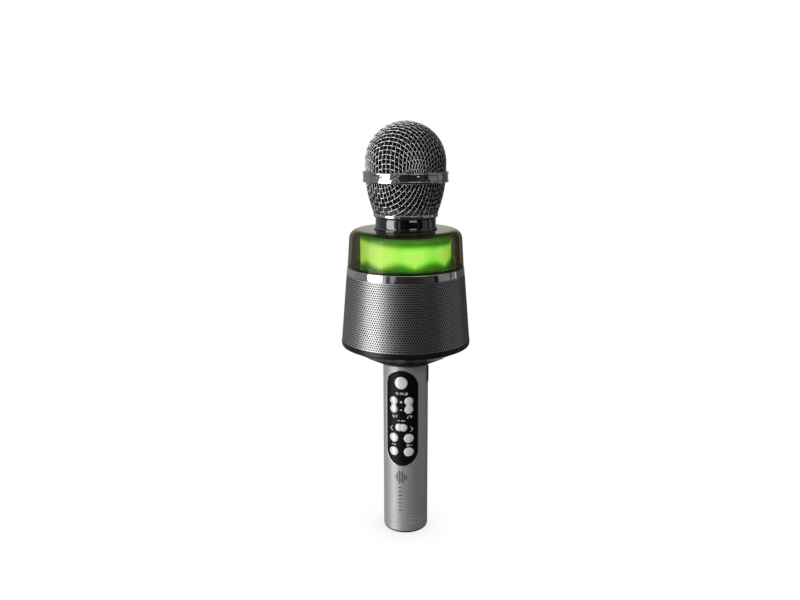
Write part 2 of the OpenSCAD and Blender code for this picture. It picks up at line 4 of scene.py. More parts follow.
import bpy
import numpy as np
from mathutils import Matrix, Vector


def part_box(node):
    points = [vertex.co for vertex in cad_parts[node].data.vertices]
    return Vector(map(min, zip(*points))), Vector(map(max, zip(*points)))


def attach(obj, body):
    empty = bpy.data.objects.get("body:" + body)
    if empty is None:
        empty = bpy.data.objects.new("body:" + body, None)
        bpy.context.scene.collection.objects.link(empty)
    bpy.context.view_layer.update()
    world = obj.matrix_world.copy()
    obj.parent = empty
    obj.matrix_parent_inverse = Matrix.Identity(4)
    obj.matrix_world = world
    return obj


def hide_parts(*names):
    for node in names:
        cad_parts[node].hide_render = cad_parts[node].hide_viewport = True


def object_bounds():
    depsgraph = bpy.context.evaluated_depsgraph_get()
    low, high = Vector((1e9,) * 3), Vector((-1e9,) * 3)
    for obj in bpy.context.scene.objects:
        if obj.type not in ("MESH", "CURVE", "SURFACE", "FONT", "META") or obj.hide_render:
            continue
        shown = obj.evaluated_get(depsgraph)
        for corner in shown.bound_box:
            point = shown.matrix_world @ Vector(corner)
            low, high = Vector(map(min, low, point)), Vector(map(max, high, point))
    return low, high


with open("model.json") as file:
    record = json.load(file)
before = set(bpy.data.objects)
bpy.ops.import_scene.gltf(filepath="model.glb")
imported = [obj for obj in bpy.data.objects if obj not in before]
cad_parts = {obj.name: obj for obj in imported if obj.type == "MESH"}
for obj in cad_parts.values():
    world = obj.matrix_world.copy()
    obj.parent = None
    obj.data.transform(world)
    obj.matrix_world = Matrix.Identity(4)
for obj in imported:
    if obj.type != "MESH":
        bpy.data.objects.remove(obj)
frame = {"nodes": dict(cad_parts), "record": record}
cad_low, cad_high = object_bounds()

MM = 0.001
NODES = frame["nodes"]
SLOT_OF = {part["node"]: part["material_slot"] for part in frame["record"]["subparts"]}
SOFT = "soft"    # marks a corner of an outline that is shaded smoothly across
SNAP = 0.02      # mm that a vertex may lie above or below the height it is looked for at


# ---- Reading the frame ----

def points_of(node):
    """Vertices of a CAD node, in mm."""
    return np.array([v.co for v in NODES[node].data.vertices]) / MM


def heights(node):
    """Lowest and highest point of a CAD node, in mm."""
    low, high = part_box(node)
    return low.z / MM, high.z / MM


def radii(node, low, high=None):
    """Distances from the axis of a node's vertices at one height, or between two, in mm."""
    at = points_of(node)
    top = low if high is None else high
    at = at[(at[:, 2] > low - SNAP) & (at[:, 2] < top + SNAP)]
    return np.hypot(at[:, 0], at[:, 1])


def reach(*place):
    """Largest of the radii."""
    return float(radii(*place).max())


def bore(*place):
    """Smallest of the radii."""
    return float(radii(*place).min())


def width(node):
    """Largest distance of a CAD node's vertices from the axis, in mm."""
    return reach(node, *heights(node))


# ---- Shader graphs ----

class Graph:
    """A node material that is written as nested calls."""

    def __init__(self, name, tree=None):
        if tree is None:
            self.material = bpy.data.materials.new(name)
            self.material.use_nodes = True
            tree = self.material.node_tree
        self.tree = tree
        tree.nodes.clear()

    def add(self, kind, inputs=None, **settings):
        node = self.tree.nodes.new("ShaderNode" + kind)
        for key, value in settings.items():
            setattr(node, key, value)
        for key, value in (inputs or {}).items():
            self.feed(node.inputs[key], value)
        return node

    def feed(self, socket, value):
        if isinstance(value, bpy.types.NodeSocket):
            self.tree.links.new(value, socket)
        elif isinstance(value, bpy.types.Node):
            self.tree.links.new(value.outputs[0], socket)
        elif socket.type == "RGBA" and len(value) == 3:
            socket.default_value = (*value, 1)
        else:
            socket.default_value = value

    def math(self, operation, a, b=0.0, c=0.0, clamp=False):
        return self.add("Math", {0: a, 1: b, 2: c}, operation=operation, use_clamp=clamp).outputs[0]

    def plus(self, a, b):
        return self.math("ADD", a, b)

    def minus(self, a, b):
        return self.math("SUBTRACT", a, b)

    def times(self, a, b):
        return self.math("MULTIPLY", a, b)

    def times_plus(self, a, b, c):
        return self.math("MULTIPLY_ADD", a, b, c)

    def span(self, value, low, high, to_low=0.0, to_high=1.0, smooth=True):
        node = self.add("MapRange", interpolation_type="SMOOTHSTEP" if smooth else "LINEAR")
        for socket, number in zip(node.inputs, (value, low, high, to_low, to_high)):
            self.feed(socket, number)
        return node.outputs[0]

    def blend(self, share, a, b):
        node = self.add("Mix", data_type="RGBA")
        self.feed(node.inputs[0], share)
        self.feed(node.inputs[6], a)
        self.feed(node.inputs[7], b)
        return node.outputs[2]

    def noise(self, size, detail=3.0, stretch=(1, 1, 1), where=None):
        """Noise from 0 to 1 whose spots are about size mm across."""
        where = where or self.add("TexCoord").outputs["Object"]
        place = self.add("Mapping", {"Vector": where, "Scale": stretch})
        return self.add("TexNoise", {"Vector": place, "Scale": 1 / (size * MM), "Detail": detail}).outputs[0]

    def cells(self, size):
        """Distance to the nearest of scattered points that are about size mm apart."""
        where = self.add("TexCoord").outputs["Object"]
        return self.add("TexVoronoi", {"Vector": where, "Scale": 1 / (size * MM)}).outputs[0]

    def ramp(self, value, *stops):
        node = self.add("ValToRGB", {"Fac": value})
        band = node.color_ramp
        while len(band.elements) < len(stops):
            band.elements.new(0.5)
        for element, (place, colour) in zip(band.elements, stops):
            element.position = place
            element.color = (*colour, 1)
        return node.outputs[0]

    def round_the_axis(self):
        """Angle round Z in radians, and height in mm."""
        x, y, z = self.add("SeparateXYZ", {0: self.add("TexCoord").outputs["Object"]}).outputs
        return self.math("ARCTAN2", y, x), self.math("DIVIDE", z, MM)

    def bump(self, height, depth, strength=1.0, under=None):
        inputs = {"Height": height, "Distance": depth * MM, "Strength": strength}
        if under is not None:
            inputs["Normal"] = under
        return self.add("Bump", inputs).outputs[0]

    def out(self, shader):
        self.add("OutputMaterial", {"Surface": shader})
        return self.material


def scaled(colour, share):
    return tuple(min(1.0, max(0.0, c * share)) for c in colour)


def surface(name, colour, metallic=0.0, rough=0.4, tint=0.1, tint_size=5.0, smear=0.08, smear_size=1.2,
            grain=0.0, grain_size=0.12, coat=0.0, wear=0.0, specks=0.0, ior=1.5, rounded=0.0, sheen=0.0):
    """Moulded, painted or plated surface: cloudy colour, uneven gloss, fine grain and worn edges."""
    g = Graph(name)
    cloud = g.noise(tint_size, 4)
    tone = g.blend(cloud, scaled(colour, 1 - tint), scaled(colour, 1 + tint))
    gloss = g.times_plus(g.minus(g.noise(smear_size, 5), 0.5), 2 * smear, rough)
    under = None
    if rounded:
        under = g.add("Bevel", {"Radius": rounded * MM}, samples=4).outputs[0]
    if wear:
        soft = g.add("Bevel", {"Radius": 0.25 * MM}, samples=4).outputs[0]
        sharp = g.add("NewGeometry").outputs["Normal"]
        turned = g.add("VectorMath", {0: soft, 1: sharp}, operation="DOT_PRODUCT").outputs["Value"]
        edge = g.span(g.plus(turned, g.times(g.noise(0.5), 0.1)), 1.02, 0.86)
        tone = g.blend(g.times(edge, wear), tone, scaled(colour, 1.8))
        gloss = g.times_plus(edge, 0.1 * wear, gloss)
    if specks:
        dot = g.span(g.cells(0.5), 0.16, 0.1)
        tone = g.blend(g.times(dot, specks), tone, scaled(colour, 1.6))
    inputs = {"Base Color": tone, "Metallic": metallic, "Roughness": gloss, "IOR": ior}
    if grain:
        inputs["Normal"] = g.bump(g.noise(grain_size, 2), 0.03, grain, under)
    elif under is not None:
        inputs["Normal"] = under
    if coat:
        inputs.update({"Coat Weight": coat, "Coat Roughness": 0.03})
    if sheen:
        inputs["Sheen Weight"] = sheen
    return g.out(g.add("BsdfPrincipled", inputs))


def gunmetal_finish():
    """Satin plated metal with a very fine lengthwise hairline and the odd brighter fleck."""
    g = Graph("gunmetal")
    streak = g.noise(0.16, 3, (1, 1, 0.03))
    cloud = g.noise(9, 3)
    fleck = g.span(g.cells(0.35), 0.2, 0.05)
    base = g.blend(cloud, (0.42, 0.422, 0.428), (0.47, 0.472, 0.478))
    tone = g.blend(g.times(fleck, 0.3), g.blend(g.times(streak, 0.35), base,
                   (0.56, 0.562, 0.568)), (0.7, 0.7, 0.71))
    gloss = g.times_plus(streak, 0.12, g.times_plus(cloud, 0.06, 0.4))
    height = g.plus(g.times(streak, 0.6), g.noise(0.09, 2))
    return g.out(g.add("BsdfPrincipled", {
        "Base Color": tone, "Metallic": 0.5, "Roughness": gloss, "Normal": g.bump(height, 0.012, 0.5)}))


def rippled_chrome(name, colour, rough, wave, depth, coat=0.0, stretch=(1, 1, 0.6)):
    """Bright plating whose mirror image wanders slightly, with faint haze and wiping marks."""
    g = Graph(name)
    tone = g.blend(g.noise(4, 4), scaled(colour, 0.93), scaled(colour, 1.05))
    haze = g.span(g.noise(1.5, 5), 0.45, 0.85, 0, 0.07)
    swell = g.bump(g.noise(wave, 1.5, stretch), depth, 1.0, g.bump(g.noise(0.25, 2), 0.001, 0.4))
    return g.out(g.add("BsdfPrincipled", {
        "Base Color": tone, "Metallic": 1.0, "Roughness": g.plus(haze, rough), "Normal": swell,
        "Coat Weight": coat, "Coat Roughness": 0.03}))


def grille_finish():
    """Dark grey paint on punched sheet, slightly orange-peeled, with small brighter flecks."""
    g = Graph("grille_sheet")
    cloud = g.noise(7, 4)
    tone = g.blend(cloud, (0.45, 0.452, 0.458), (0.5, 0.502, 0.51))
    tone = g.blend(g.span(g.noise(0.25, 3), 0.55, 0.8, 0, 0.5), tone, (0.62, 0.622, 0.63))
    gloss = g.times_plus(g.noise(1.0, 4), 0.1, 0.36)
    height = g.plus(g.noise(0.3, 3), g.times(g.noise(0.08, 2), 0.4))
    return g.out(g.add("BsdfPrincipled", {
        "Base Color": tone, "Metallic": 1.0, "Roughness": gloss, "Normal": g.bump(height, 0.008, 0.5)}))


def weave_finish():
    """Black acoustic cloth: plain weave of matt threads, in angle round the axis and height; the gaps between
    the threads are painted darker as shade.
    """
    g = Graph("black_cloth")
    angle, height = g.round_the_axis()
    pitch = 0.42
    cloth_r = 38
    across = g.times(angle, cloth_r * math.pi / pitch)
    along = g.times(height, math.pi / pitch)
    one = g.math("ABSOLUTE", g.math("SINE", across))
    two = g.math("ABSOLUTE", g.math("SINE", along))
    over = g.span(g.times(g.math("SINE", across), g.math("SINE", along)), -0.2, 0.2)
    weave = g.plus(g.times(one, over), g.times(two, g.minus(1, over)))
    # Painted shade: darker in the gaps between the threads, lighter on their crowns.
    tone = g.blend(weave, (0.004, 0.004, 0.0045), (0.03, 0.03, 0.032))
    tone = g.blend(g.times(g.noise(3, 3), 0.4), tone, (0.018, 0.018, 0.02))
    return g.out(g.add("BsdfPrincipled", {
        "Base Color": tone, "Roughness": g.times_plus(g.noise(0.6), 0.15, 0.8),
        "Sheen Weight": 0.15, "Normal": g.bump(weave, 0.12, 0.9)}))


def foam_finish():
    """Open-cell foam: pits painted darker as shade, between lighter matt struts."""
    g = Graph("black_foam")
    pits = g.cells(0.55)
    fine = g.cells(0.25)
    # Painted shade: the pits are darker than the struts round them.
    tone = g.blend(g.span(pits, 0.25, 0.7), (0.0015, 0.0015, 0.0015), (0.012, 0.012, 0.013))
    tone = g.blend(g.times(g.noise(4, 3), 0.25), tone, (0.018, 0.018, 0.019))
    height = g.plus(pits, g.times(fine, 0.5))
    return g.out(g.add("BsdfPrincipled", {
        "Base Color": tone, "Roughness": g.times_plus(fine, 0.1, 0.85),
        "Specular IOR Level": 0.2, "Normal": g.bump(height, 0.3, 1.0)}))


def cover_finish():
    """Smoked clear plastic: darker at a slant, glossy, with faint moulding ripple and dust."""
    g = Graph("smoked_cover")
    facing = g.add("LayerWeight", {"Blend": 0.5}).outputs["Facing"]
    slant = g.math("DIVIDE", -0.38, g.math("MAXIMUM", g.minus(1, facing), 0.12))
    red, green, blue = (g.math("EXPONENT", g.times(slant, k)) for k in (1.0, 1.03, 1.3))
    through = g.add("CombineColor", {0: red, 1: green, 2: blue}).outputs[0]
    clear = g.add("BsdfTransparent", {"Color": through})
    ripple = g.bump(g.noise(14, 2), 0.05, 0.35, g.bump(g.noise(0.5, 2), 0.002, 0.3))
    gloss = g.times_plus(g.noise(3, 4), 0.05, 0.03)
    shine = g.add("BsdfGlossy", {"Color": (0.97, 1.0, 0.84), "Roughness": gloss, "Normal": ripple})
    outside = g.minus(1, g.add("NewGeometry").outputs["Backfacing"])
    share = g.times(outside, g.times_plus(g.math("POWER", facing, 4.0), 0.72, 0.018))
    body = g.add("MixShader", {0: share, 1: clear, 2: shine})
    dust = g.add("BsdfDiffuse", {"Color": (0.36, 0.31, 0.2)})
    amount = g.times_plus(facing, 0.05, g.span(g.noise(0.6, 5), 0.5, 0.9, 0.004, 0.03))
    return g.out(g.add("MixShader", {0: amount, 1: body, 2: dust}))


def drum_finish():
    """Milky drum lit from inside by lamps at its foot: bright bays between darker green flutes, and a painted
    highlight, brighter and yellower, on the side towards the key light.
    """
    g = Graph("milky_drum")
    low, high = heights("light_diffuser")
    lamps, first = 8, math.radians(23.5)
    painted_highlight_side, low_side = math.radians(-120), math.radians(-40)
    drum_r, spot_wide, spot_tall, spot_rise = 27.8, 1.9, 1.7, 3.0    # mm: the drum and the lamps' spots
    angle, height = g.round_the_axis()
    v = g.span(height, low, high, smooth=False)
    step = 2 * math.pi / lamps
    turn = g.math("DIVIDE", g.minus(angle, first), step)
    off = g.minus(g.math("FRACT", g.plus(turn, 0.5)), 0.5)
    side = g.times(g.math("ABSOLUTE", off), 2)
    wobble = g.times(g.minus(g.noise(16, 2), 0.5), 0.12)
    swing = g.times_plus(g.math("COSINE", g.times(off, 2 * math.pi)), -0.5, 0.5)
    foot = g.times_plus(g.math("POWER", swing, 0.8), 0.12, wobble)
    rise = g.span(g.minus(v, foot), -0.06, 0.3)
    around = g.math("COSINE", g.minus(angle, low_side))
    roof = g.times_plus(around, -0.09, g.plus(wobble, 1.0))
    fall = g.span(g.minus(roof, v), 0.02, 0.3, 0.03, 1)
    bay = g.span(side, 0.35, 0.95, 1, 0.86)
    heat = g.times(g.times(rise, fall), bay)
    across = g.math("POWER", g.times(off, step * drum_r / spot_wide), 2)
    above = g.math("POWER", g.math("DIVIDE", g.minus(height, low + spot_rise), spot_tall), 2)
    lamp = g.math("SUBTRACT", 1, g.math("SQRT", g.plus(across, above)), clamp=True)
    glow = g.ramp(g.times_plus(heat, 0.94, g.times(g.noise(2.5, 3), 0.06)),
                  (0.0, (0.012, 0.1, 0.0)), (0.3, (0.06, 0.36, 0.008)), (0.62, (0.21, 0.8, 0.045)),
                  (0.85, (0.36, 0.98, 0.11)), (1.0, (0.55, 1.0, 0.16)))
    # Painted highlight: the side towards the key light is painted brighter and yellower, in place of the
    # key's reflection.
    painted_highlight = g.span(g.math("COSINE", g.minus(angle, painted_highlight_side)), 0.72, 0.97, 0, 0.85)
    glow = g.blend(g.times(painted_highlight, heat), glow, (0.6, 0.97, 0.16))
    glow = g.blend(g.times(lamp, 0.75), glow, (1.0, 0.78, 0.3))
    shine = g.add("BsdfPrincipled", {
        "Base Color": (0.32, 0.62, 0.2), "Roughness": g.times_plus(g.noise(1.5), 0.1, 0.3),
        "Normal": g.bump(g.noise(0.4, 3), 0.02, 0.3), "Emission Color": glow, "Emission Strength": 1.9})
    return g.out(shine)


def floor_finish():
    """Pale floor: evenly white in the picture with a soft contact shade, plain matt for everything else."""
    g = Graph("floor")
    seen = g.add("LightPath").outputs["Is Camera Ray"]
    near = g.add("AmbientOcclusion", {"Distance": 0.03}, samples=8).outputs["AO"]
    shade = g.ramp(near, (0.3, (0.78, 0.78, 0.79)), (0.9, (1, 1, 1)))
    even = g.add("Emission", {"Color": shade, "Strength": 1.0})
    matt = g.add("Emission", {"Color": (0.55, 0.55, 0.55), "Strength": 1.0})
    return g.out(g.add("MixShader", {0: seen, 1: matt, 2: even}))


# Columns: colour, metallic, rough, tint, tint_size, smear, smear_size, grain, grain_size, further settings
SURFACES = {
    "mesh_wire": ((0.6, 0.605, 0.615), 1, 0.22, 0.12, 2.5, 0.1, 0.6, 0.25, 0.06, {}),
    "black_rubber": ((0.028, 0.028, 0.029), 0, 0.65, 0.2, 3, 0.1, 1, 0.5, 0.1, {"rounded": 0.1}),
    "capsule_can": ((0.5, 0.5, 0.52), 1, 0.32, 0.08, 3, 0.1, 0.5, 0.3, 0.08, {"rounded": 0.15}),
    "capsule_screen": ((0.6, 0.43, 0.17), 1, 0.34, 0.1, 2, 0.1, 0.4, 0.3, 0.1, {}),
    "inner_plastic": ((0.04, 0.04, 0.044), 0, 0.5, 0.15, 4, 0.1, 1, 0.4, 0.1, {"rounded": 0.2}),
    "circuit_board": ((0.015, 0.12, 0.04), 0, 0.3, 0.25, 1.5, 0.1, 0.6, 0.3, 0.15, {"coat": 0.5}),
    "lamp_body": ((0.8, 0.84, 0.7), 0, 0.25, 0.08, 2, 0.08, 0.8, 0.1, 0.2, {"rounded": 0.3}),
    "white_plastic": ((0.72, 0.73, 0.69), 0, 0.42, 0.06, 4, 0.08, 1, 0.25, 0.1, {"rounded": 0.2}),
    "driver_steel": ((0.1, 0.1, 0.105), 0.8, 0.38, 0.2, 3, 0.1, 0.8, 0.3, 0.1, {"rounded": 0.2}),
    "paper_cone": ((0.035, 0.034, 0.032), 0, 0.8, 0.25, 1, 0.1, 0.5, 0.9, 0.15, {"sheen": 0.2}),
    "bright_steel": ((0.6, 0.6, 0.62), 1, 0.25, 0.08, 1, 0.1, 0.4, 0.2, 0.08, {"rounded": 0.1}),
    "gloss_black": ((0.0065, 0.0065, 0.007), 0, 0.3, 0.25, 6, 0.08, 2.5, 0.12, 0.25,
        {"specks": 0.1, "ior": 1.38}),
    "chip_black": ((0.02, 0.02, 0.021), 0, 0.45, 0.2, 1, 0.1, 0.4, 0.4, 0.08, {"rounded": 0.1}),
    "cell_wrap": ((0.03, 0.12, 0.35), 0, 0.28, 0.1, 6, 0.1, 2, 0.15, 0.4, {"coat": 0.4, "rounded": 0.3}),
    "socket_plastic": ((0.014, 0.014, 0.015), 0, 0.38, 0.2, 2, 0.1, 0.8, 0.35, 0.08,
        {"rounded": 0.12, "wear": 0.25}),
    "wire_cover": ((0.42, 0.03, 0.03), 0, 0.42, 0.1, 3, 0.1, 1, 0.2, 0.15, {}),
    "key_chrome": ((0.82, 0.82, 0.825), 0.12, 0.24, 0.03, 2, 0.06, 1.2, 0.08, 0.1, {}),
    "panel_black": ((0.004, 0.004, 0.0045), 0, 0.4, 0.25, 5, 0.1, 2.0, 0.25, 0.12, {"ior": 1.22}),
    "print_white": ((0.85, 0.85, 0.85), 0, 0.45, 0.08, 0.8, 0.08, 0.4, 0.2, 0.05, {}),
    "print_dark": ((0.03, 0.031, 0.033), 0.3, 0.35, 0.12, 1, 0.08, 0.6, 0.2, 0.06, {}),
    # Painted shade: near-black finish for the hole walls and the back of the grille sheet.
    "hole_painted_shade": ((0.03, 0.03, 0.031), 0.3, 0.5, 0.2, 1, 0.1, 0.5, 0.3, 0.1, {}),
    "rim_metal": ((0.62, 0.625, 0.635), 1, 0.14, 0.06, 1.5, 0.06, 0.8, 0.1, 0.06, {}),
}
FINISH = {name: surface(name, *numbers, **more) for name, (*numbers, more) in SURFACES.items()}
FINISH.update({
    "band_chrome": rippled_chrome("band_chrome", (0.76, 0.762, 0.775), 0.05, 5.5, 0.12),
    "black_foam": foam_finish(),
    "black_chrome": rippled_chrome("black_chrome", (0.1, 0.1, 0.105), 0.05, 4, 0.1, 1.0),
    "smoked_cover": cover_finish(),
    "milky_drum": drum_finish(),
    "grille_sheet": grille_finish(),
    "black_cloth": weave_finish(),
    "gunmetal": gunmetal_finish(),
    "wavy_chrome": rippled_chrome("wavy_chrome", (0.6, 0.602, 0.615), 0.07, 4.5, 0.8,
                                  stretch=(0.9, 0.9, 1.7)),
})


# ---- Mesh builders ----

def build(name, at, faces, material, body, replaces=(), normals=None):
    """Object from points in mm and faces; normals are per face corner."""
    mesh = bpy.data.meshes.new(name)
    mesh.from_pydata((np.asarray(at, float) * MM).tolist(), [], faces)
    mesh.materials.append(material)
    mesh.polygons.foreach_set("use_smooth", [True] * len(mesh.polygons))
    mesh.update()
    if normals is not None:
        mesh.normals_split_custom_set(np.asarray(normals, float).tolist())
    piece = bpy.data.objects.new(name, mesh)
    bpy.context.scene.collection.objects.link(piece)
    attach(piece, body)
    if replaces:
        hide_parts(*replaces)
    return piece


def unit(v):
    return np.asarray(v, float) / max(np.linalg.norm(v), 1e-12)


def traced(corners):
    """Turns corners (r, z), (r, z, fillet) or (r, z, SOFT) into short edges with a normal at each end."""
    corners = [tuple(c) if len(c) > 2 else (c[0], c[1], 0) for c in corners]
    flat = np.array([c[:2] for c in corners], float)
    nxt = np.roll(flat, -1, 0)
    if np.sum(flat[:, 0] * nxt[:, 1] - nxt[:, 0] * flat[:, 1]) < 0:
        corners = corners[::-1]
        flat = flat[::-1]
    count = len(corners)
    knots = []
    for k in range(count):
        before, here, after = flat[k - 1], flat[k], flat[(k + 1) % count]
        d1, d2 = unit(here - before), unit(after - here)
        n1, n2 = np.array([d1[1], -d1[0]]), np.array([d2[1], -d2[0]])
        turn = math.atan2(d1[0] * d2[1] - d1[1] * d2[0], float(d1 @ d2))
        radius = corners[k][2]
        if radius == SOFT:
            mean = unit(n1 + n2)
            knots.append([(here, mean), (here, mean)])
        elif radius > 0 and abs(turn) > 0.02:
            back = radius * math.tan(abs(turn) / 2)
            back = min(back, 0.49 * np.linalg.norm(here - before), 0.49 * np.linalg.norm(after - here))
            radius = back / math.tan(abs(turn) / 2)
            hand = 1 if turn > 0 else -1
            middle = here - d1 * back - n1 * radius * hand
            parts = max(3, int(abs(turn) / 0.26) + 1)
            arc = []
            for i in range(parts + 1):
                c, s = math.cos(turn * i / parts), math.sin(turn * i / parts)
                n = np.array([n1[0] * c - n1[1] * s, n1[0] * s + n1[1] * c])
                arc.append((middle + n * radius * hand, n))
            knots.append(arc)
        else:
            knots.append([(here, n1), (here, n2)])
    edges = []
    for k in range(count):
        run = knots[k] + [knots[(k + 1) % count][0]]
        edges += [(p, q) for p, q in zip(run, run[1:]) if np.linalg.norm(p[0] - q[0]) > 1e-5]
    return edges


def lathe(name, corners, slot, body, replaces=(), material=None, steps=192):
    """Solid of revolution round Z with true rounded corners and exact normals."""
    edges = traced(corners)
    points = [e[0][0] for e in edges]
    count = len(points)
    angle = np.arange(steps) * 2 * math.pi / steps
    c, s = np.cos(angle), np.sin(angle)
    at, first = [], []
    for r, z in points:
        first.append(len(at))
        if r < 1e-6:
            at.append((0, 0, z))
        else:
            at.extend(zip(r * c, r * s, [z] * steps))
    faces, normals = [], []
    for k, ((p, n), (q, m)) in enumerate(edges):
        i, j = first[k], first[(k + 1) % count]
        if p[0] < 1e-6 and q[0] < 1e-6:
            continue
        for t in range(steps):
            u = (t + 1) % steps
            corner = [(i + t, n, t), (i + u, n, u), (j + u, m, u), (j + t, m, t)]
            if p[0] < 1e-6:
                corner = [(i, n, t), (j + u, m, u), (j + t, m, t)]
            elif q[0] < 1e-6:
                corner = [(i + t, n, t), (i + u, n, u), (j, m, t)]
            faces.append([v for v, _, _ in corner])
            normals += [(w[0] * c[a], w[0] * s[a], w[1]) for _, w, a in corner]
    return build(name, at, faces, material or FINISH[slot], body, replaces, normals)


def tubes(paths, radius, sides=7):
    """Round wires: each path is (points, outward directions); returns points, faces and normals."""
    turn = np.arange(sides) * 2 * math.pi / sides
    all_at, faces, normals = [], [], []
    start = 0
    for at, up in paths:
        n = len(at)
        along = np.gradient(at, axis=0)
        along /= np.linalg.norm(along, axis=1)[:, None]
        up = up - along * np.sum(up * along, 1)[:, None]
        up /= np.linalg.norm(up, axis=1)[:, None]
        across = np.cross(along, up)
        way = up[:, None] * np.cos(turn)[None, :, None] + across[:, None] * np.sin(turn)[None, :, None]
        all_at.append((at[:, None] + radius * way).reshape(-1, 3))
        index = start + np.arange(n * sides).reshape(n, sides)
        right = np.roll(index, -1, 1)
        ring = np.stack([index[:-1], right[:-1], right[1:], index[1:]], -1).reshape(-1, 4)
        flat = way.reshape(-1, 3)
        faces += ring.tolist()
        normals.append(flat[(ring - start).ravel()])
        for cap, sign in ((index[0][::-1], -1), (index[-1], 1)):
            faces.append(cap.tolist())
            normals.append(np.repeat((along[0 if sign < 0 else -1] * sign)[None], sides, 0))
        start += n * sides
    return np.concatenate(all_at), faces, np.concatenate(normals)


def bands(pairs, count):
    """Quads that join rings of count points: each pair is the numbers of two rings."""
    return [[a * count + i, b * count + i, b * count + (i + 1) % count, a * count + (i + 1) % count]
            for a, b in pairs for i in range(count)]


# ---- Woven wire domes ----

class Skin:
    """Surface of revolution by arc length from its pole outwards."""

    def __init__(self, points, outward):
        at = np.array(points, float)
        length = np.concatenate([[0], np.cumsum(np.hypot(*np.diff(at, axis=0).T))])
        self.s = np.linspace(0, length[-1], 1500)
        self.r = np.interp(self.s, length, at[:, 0])
        self.z = np.interp(self.s, length, at[:, 1])
        soft = np.ones(31) / 31
        self.dr = np.convolve(np.gradient(self.r, self.s), soft, "same")
        self.dz = np.convolve(np.gradient(self.z, self.s), soft, "same")
        self.dr[:20], self.dz[:20] = self.dr[20], self.dz[20]
        self.dr[-20:], self.dz[-20:] = self.dr[-20], self.dz[-20]
        self.outward = outward

    def place(self, s, phi):
        r, z = np.interp(s, self.s, self.r), np.interp(s, self.s, self.z)
        return np.stack([r * np.cos(phi), r * np.sin(phi), z + 0 * phi], -1)

    def slopes(self, s, phi):
        r, dr, dz = (np.interp(s, self.s, f) for f in (self.r, self.dr, self.dz))
        by_s = np.stack([dr * np.cos(phi), dr * np.sin(phi), dz + 0 * phi], -1)
        by_phi = np.stack([-r * np.sin(phi), r * np.cos(phi), 0 * phi], -1)
        return by_s, by_phi

    def normal(self, s, phi):
        dr, dz = np.interp(s, self.s, self.dr), np.interp(s, self.s, self.dz)
        n = np.stack([-dz * np.cos(phi), -dz * np.sin(phi), dr], -1) * self.outward
        return n / np.linalg.norm(n, axis=-1)[..., None]


def net(skin, pitch, reach_s):
    """Square wire cloth laid over a skin from its pole: arc length and angle of every crossing."""
    size = int(reach_s / pitch * 1.9) + 3
    s = np.full((size, size), np.nan)
    phi = np.full((size, size), np.nan)
    line = np.arange(size) * pitch
    s[:, 0] = s[0, :] = np.where(line <= skin.s[-1] - pitch, line, np.nan)
    phi[:, 0], phi[0, :] = 0, math.pi / 2
    for total in range(2, 2 * size - 1):
        i = np.arange(max(1, total - size + 1), min(size, total))
        j = total - i
        a_s, a_phi, b_s, b_phi = s[i - 1, j], phi[i - 1, j], s[i, j - 1], phi[i, j - 1]
        a, b = skin.place(a_s, a_phi), skin.place(b_s, b_phi)
        guess = a + b - skin.place(s[i - 1, j - 1], phi[i - 1, j - 1])
        u = a_s + b_s - s[i - 1, j - 1]
        v = np.arctan2(guess[:, 1], guess[:, 0])
        for _ in range(14):
            p = skin.place(u, v)
            e1 = np.sum((p - a) ** 2, 1) - pitch ** 2
            e2 = np.sum((p - b) ** 2, 1) - pitch ** 2
            ps, pv = skin.slopes(u, v)
            m11, m12 = 2 * np.sum((p - a) * ps, 1), 2 * np.sum((p - a) * pv, 1)
            m21, m22 = 2 * np.sum((p - b) * ps, 1), 2 * np.sum((p - b) * pv, 1)
            det = m11 * m22 - m12 * m21
            det = np.where(np.abs(det) < 1e-9, 1e-9, det)
            u = u - np.clip((e1 * m22 - e2 * m12) / det, -pitch / 2, pitch / 2)
            v = v - np.clip((m11 * e2 - m21 * e1) / det, -0.2, 0.2)
        p = skin.place(u, v)
        bad = (np.abs(np.linalg.norm(p - a, axis=1) - pitch) > 0.02) | (u > skin.s[-1] - pitch)
        bad |= np.linalg.norm(p - skin.place(s[i - 1, j - 1], phi[i - 1, j - 1]), axis=1) < 0.3
        s[i, j] = np.where(bad, np.nan, u)
        phi[i, j] = np.where(bad, np.nan, v)
    whole = 2 * size - 1
    big_s, big_phi = np.full((whole, whole), np.nan), np.full((whole, whole), np.nan)
    for quarter in range(4):
        for i in range(size):
            for j in range(size):
                x, y = [(i, j), (-j, i), (-i, -j), (j, -i)][quarter]
                big_s[x + size - 1, y + size - 1] = s[i, j]
                big_phi[x + size - 1, y + size - 1] = phi[i, j] + quarter * math.pi / 2
    return big_s, big_phi


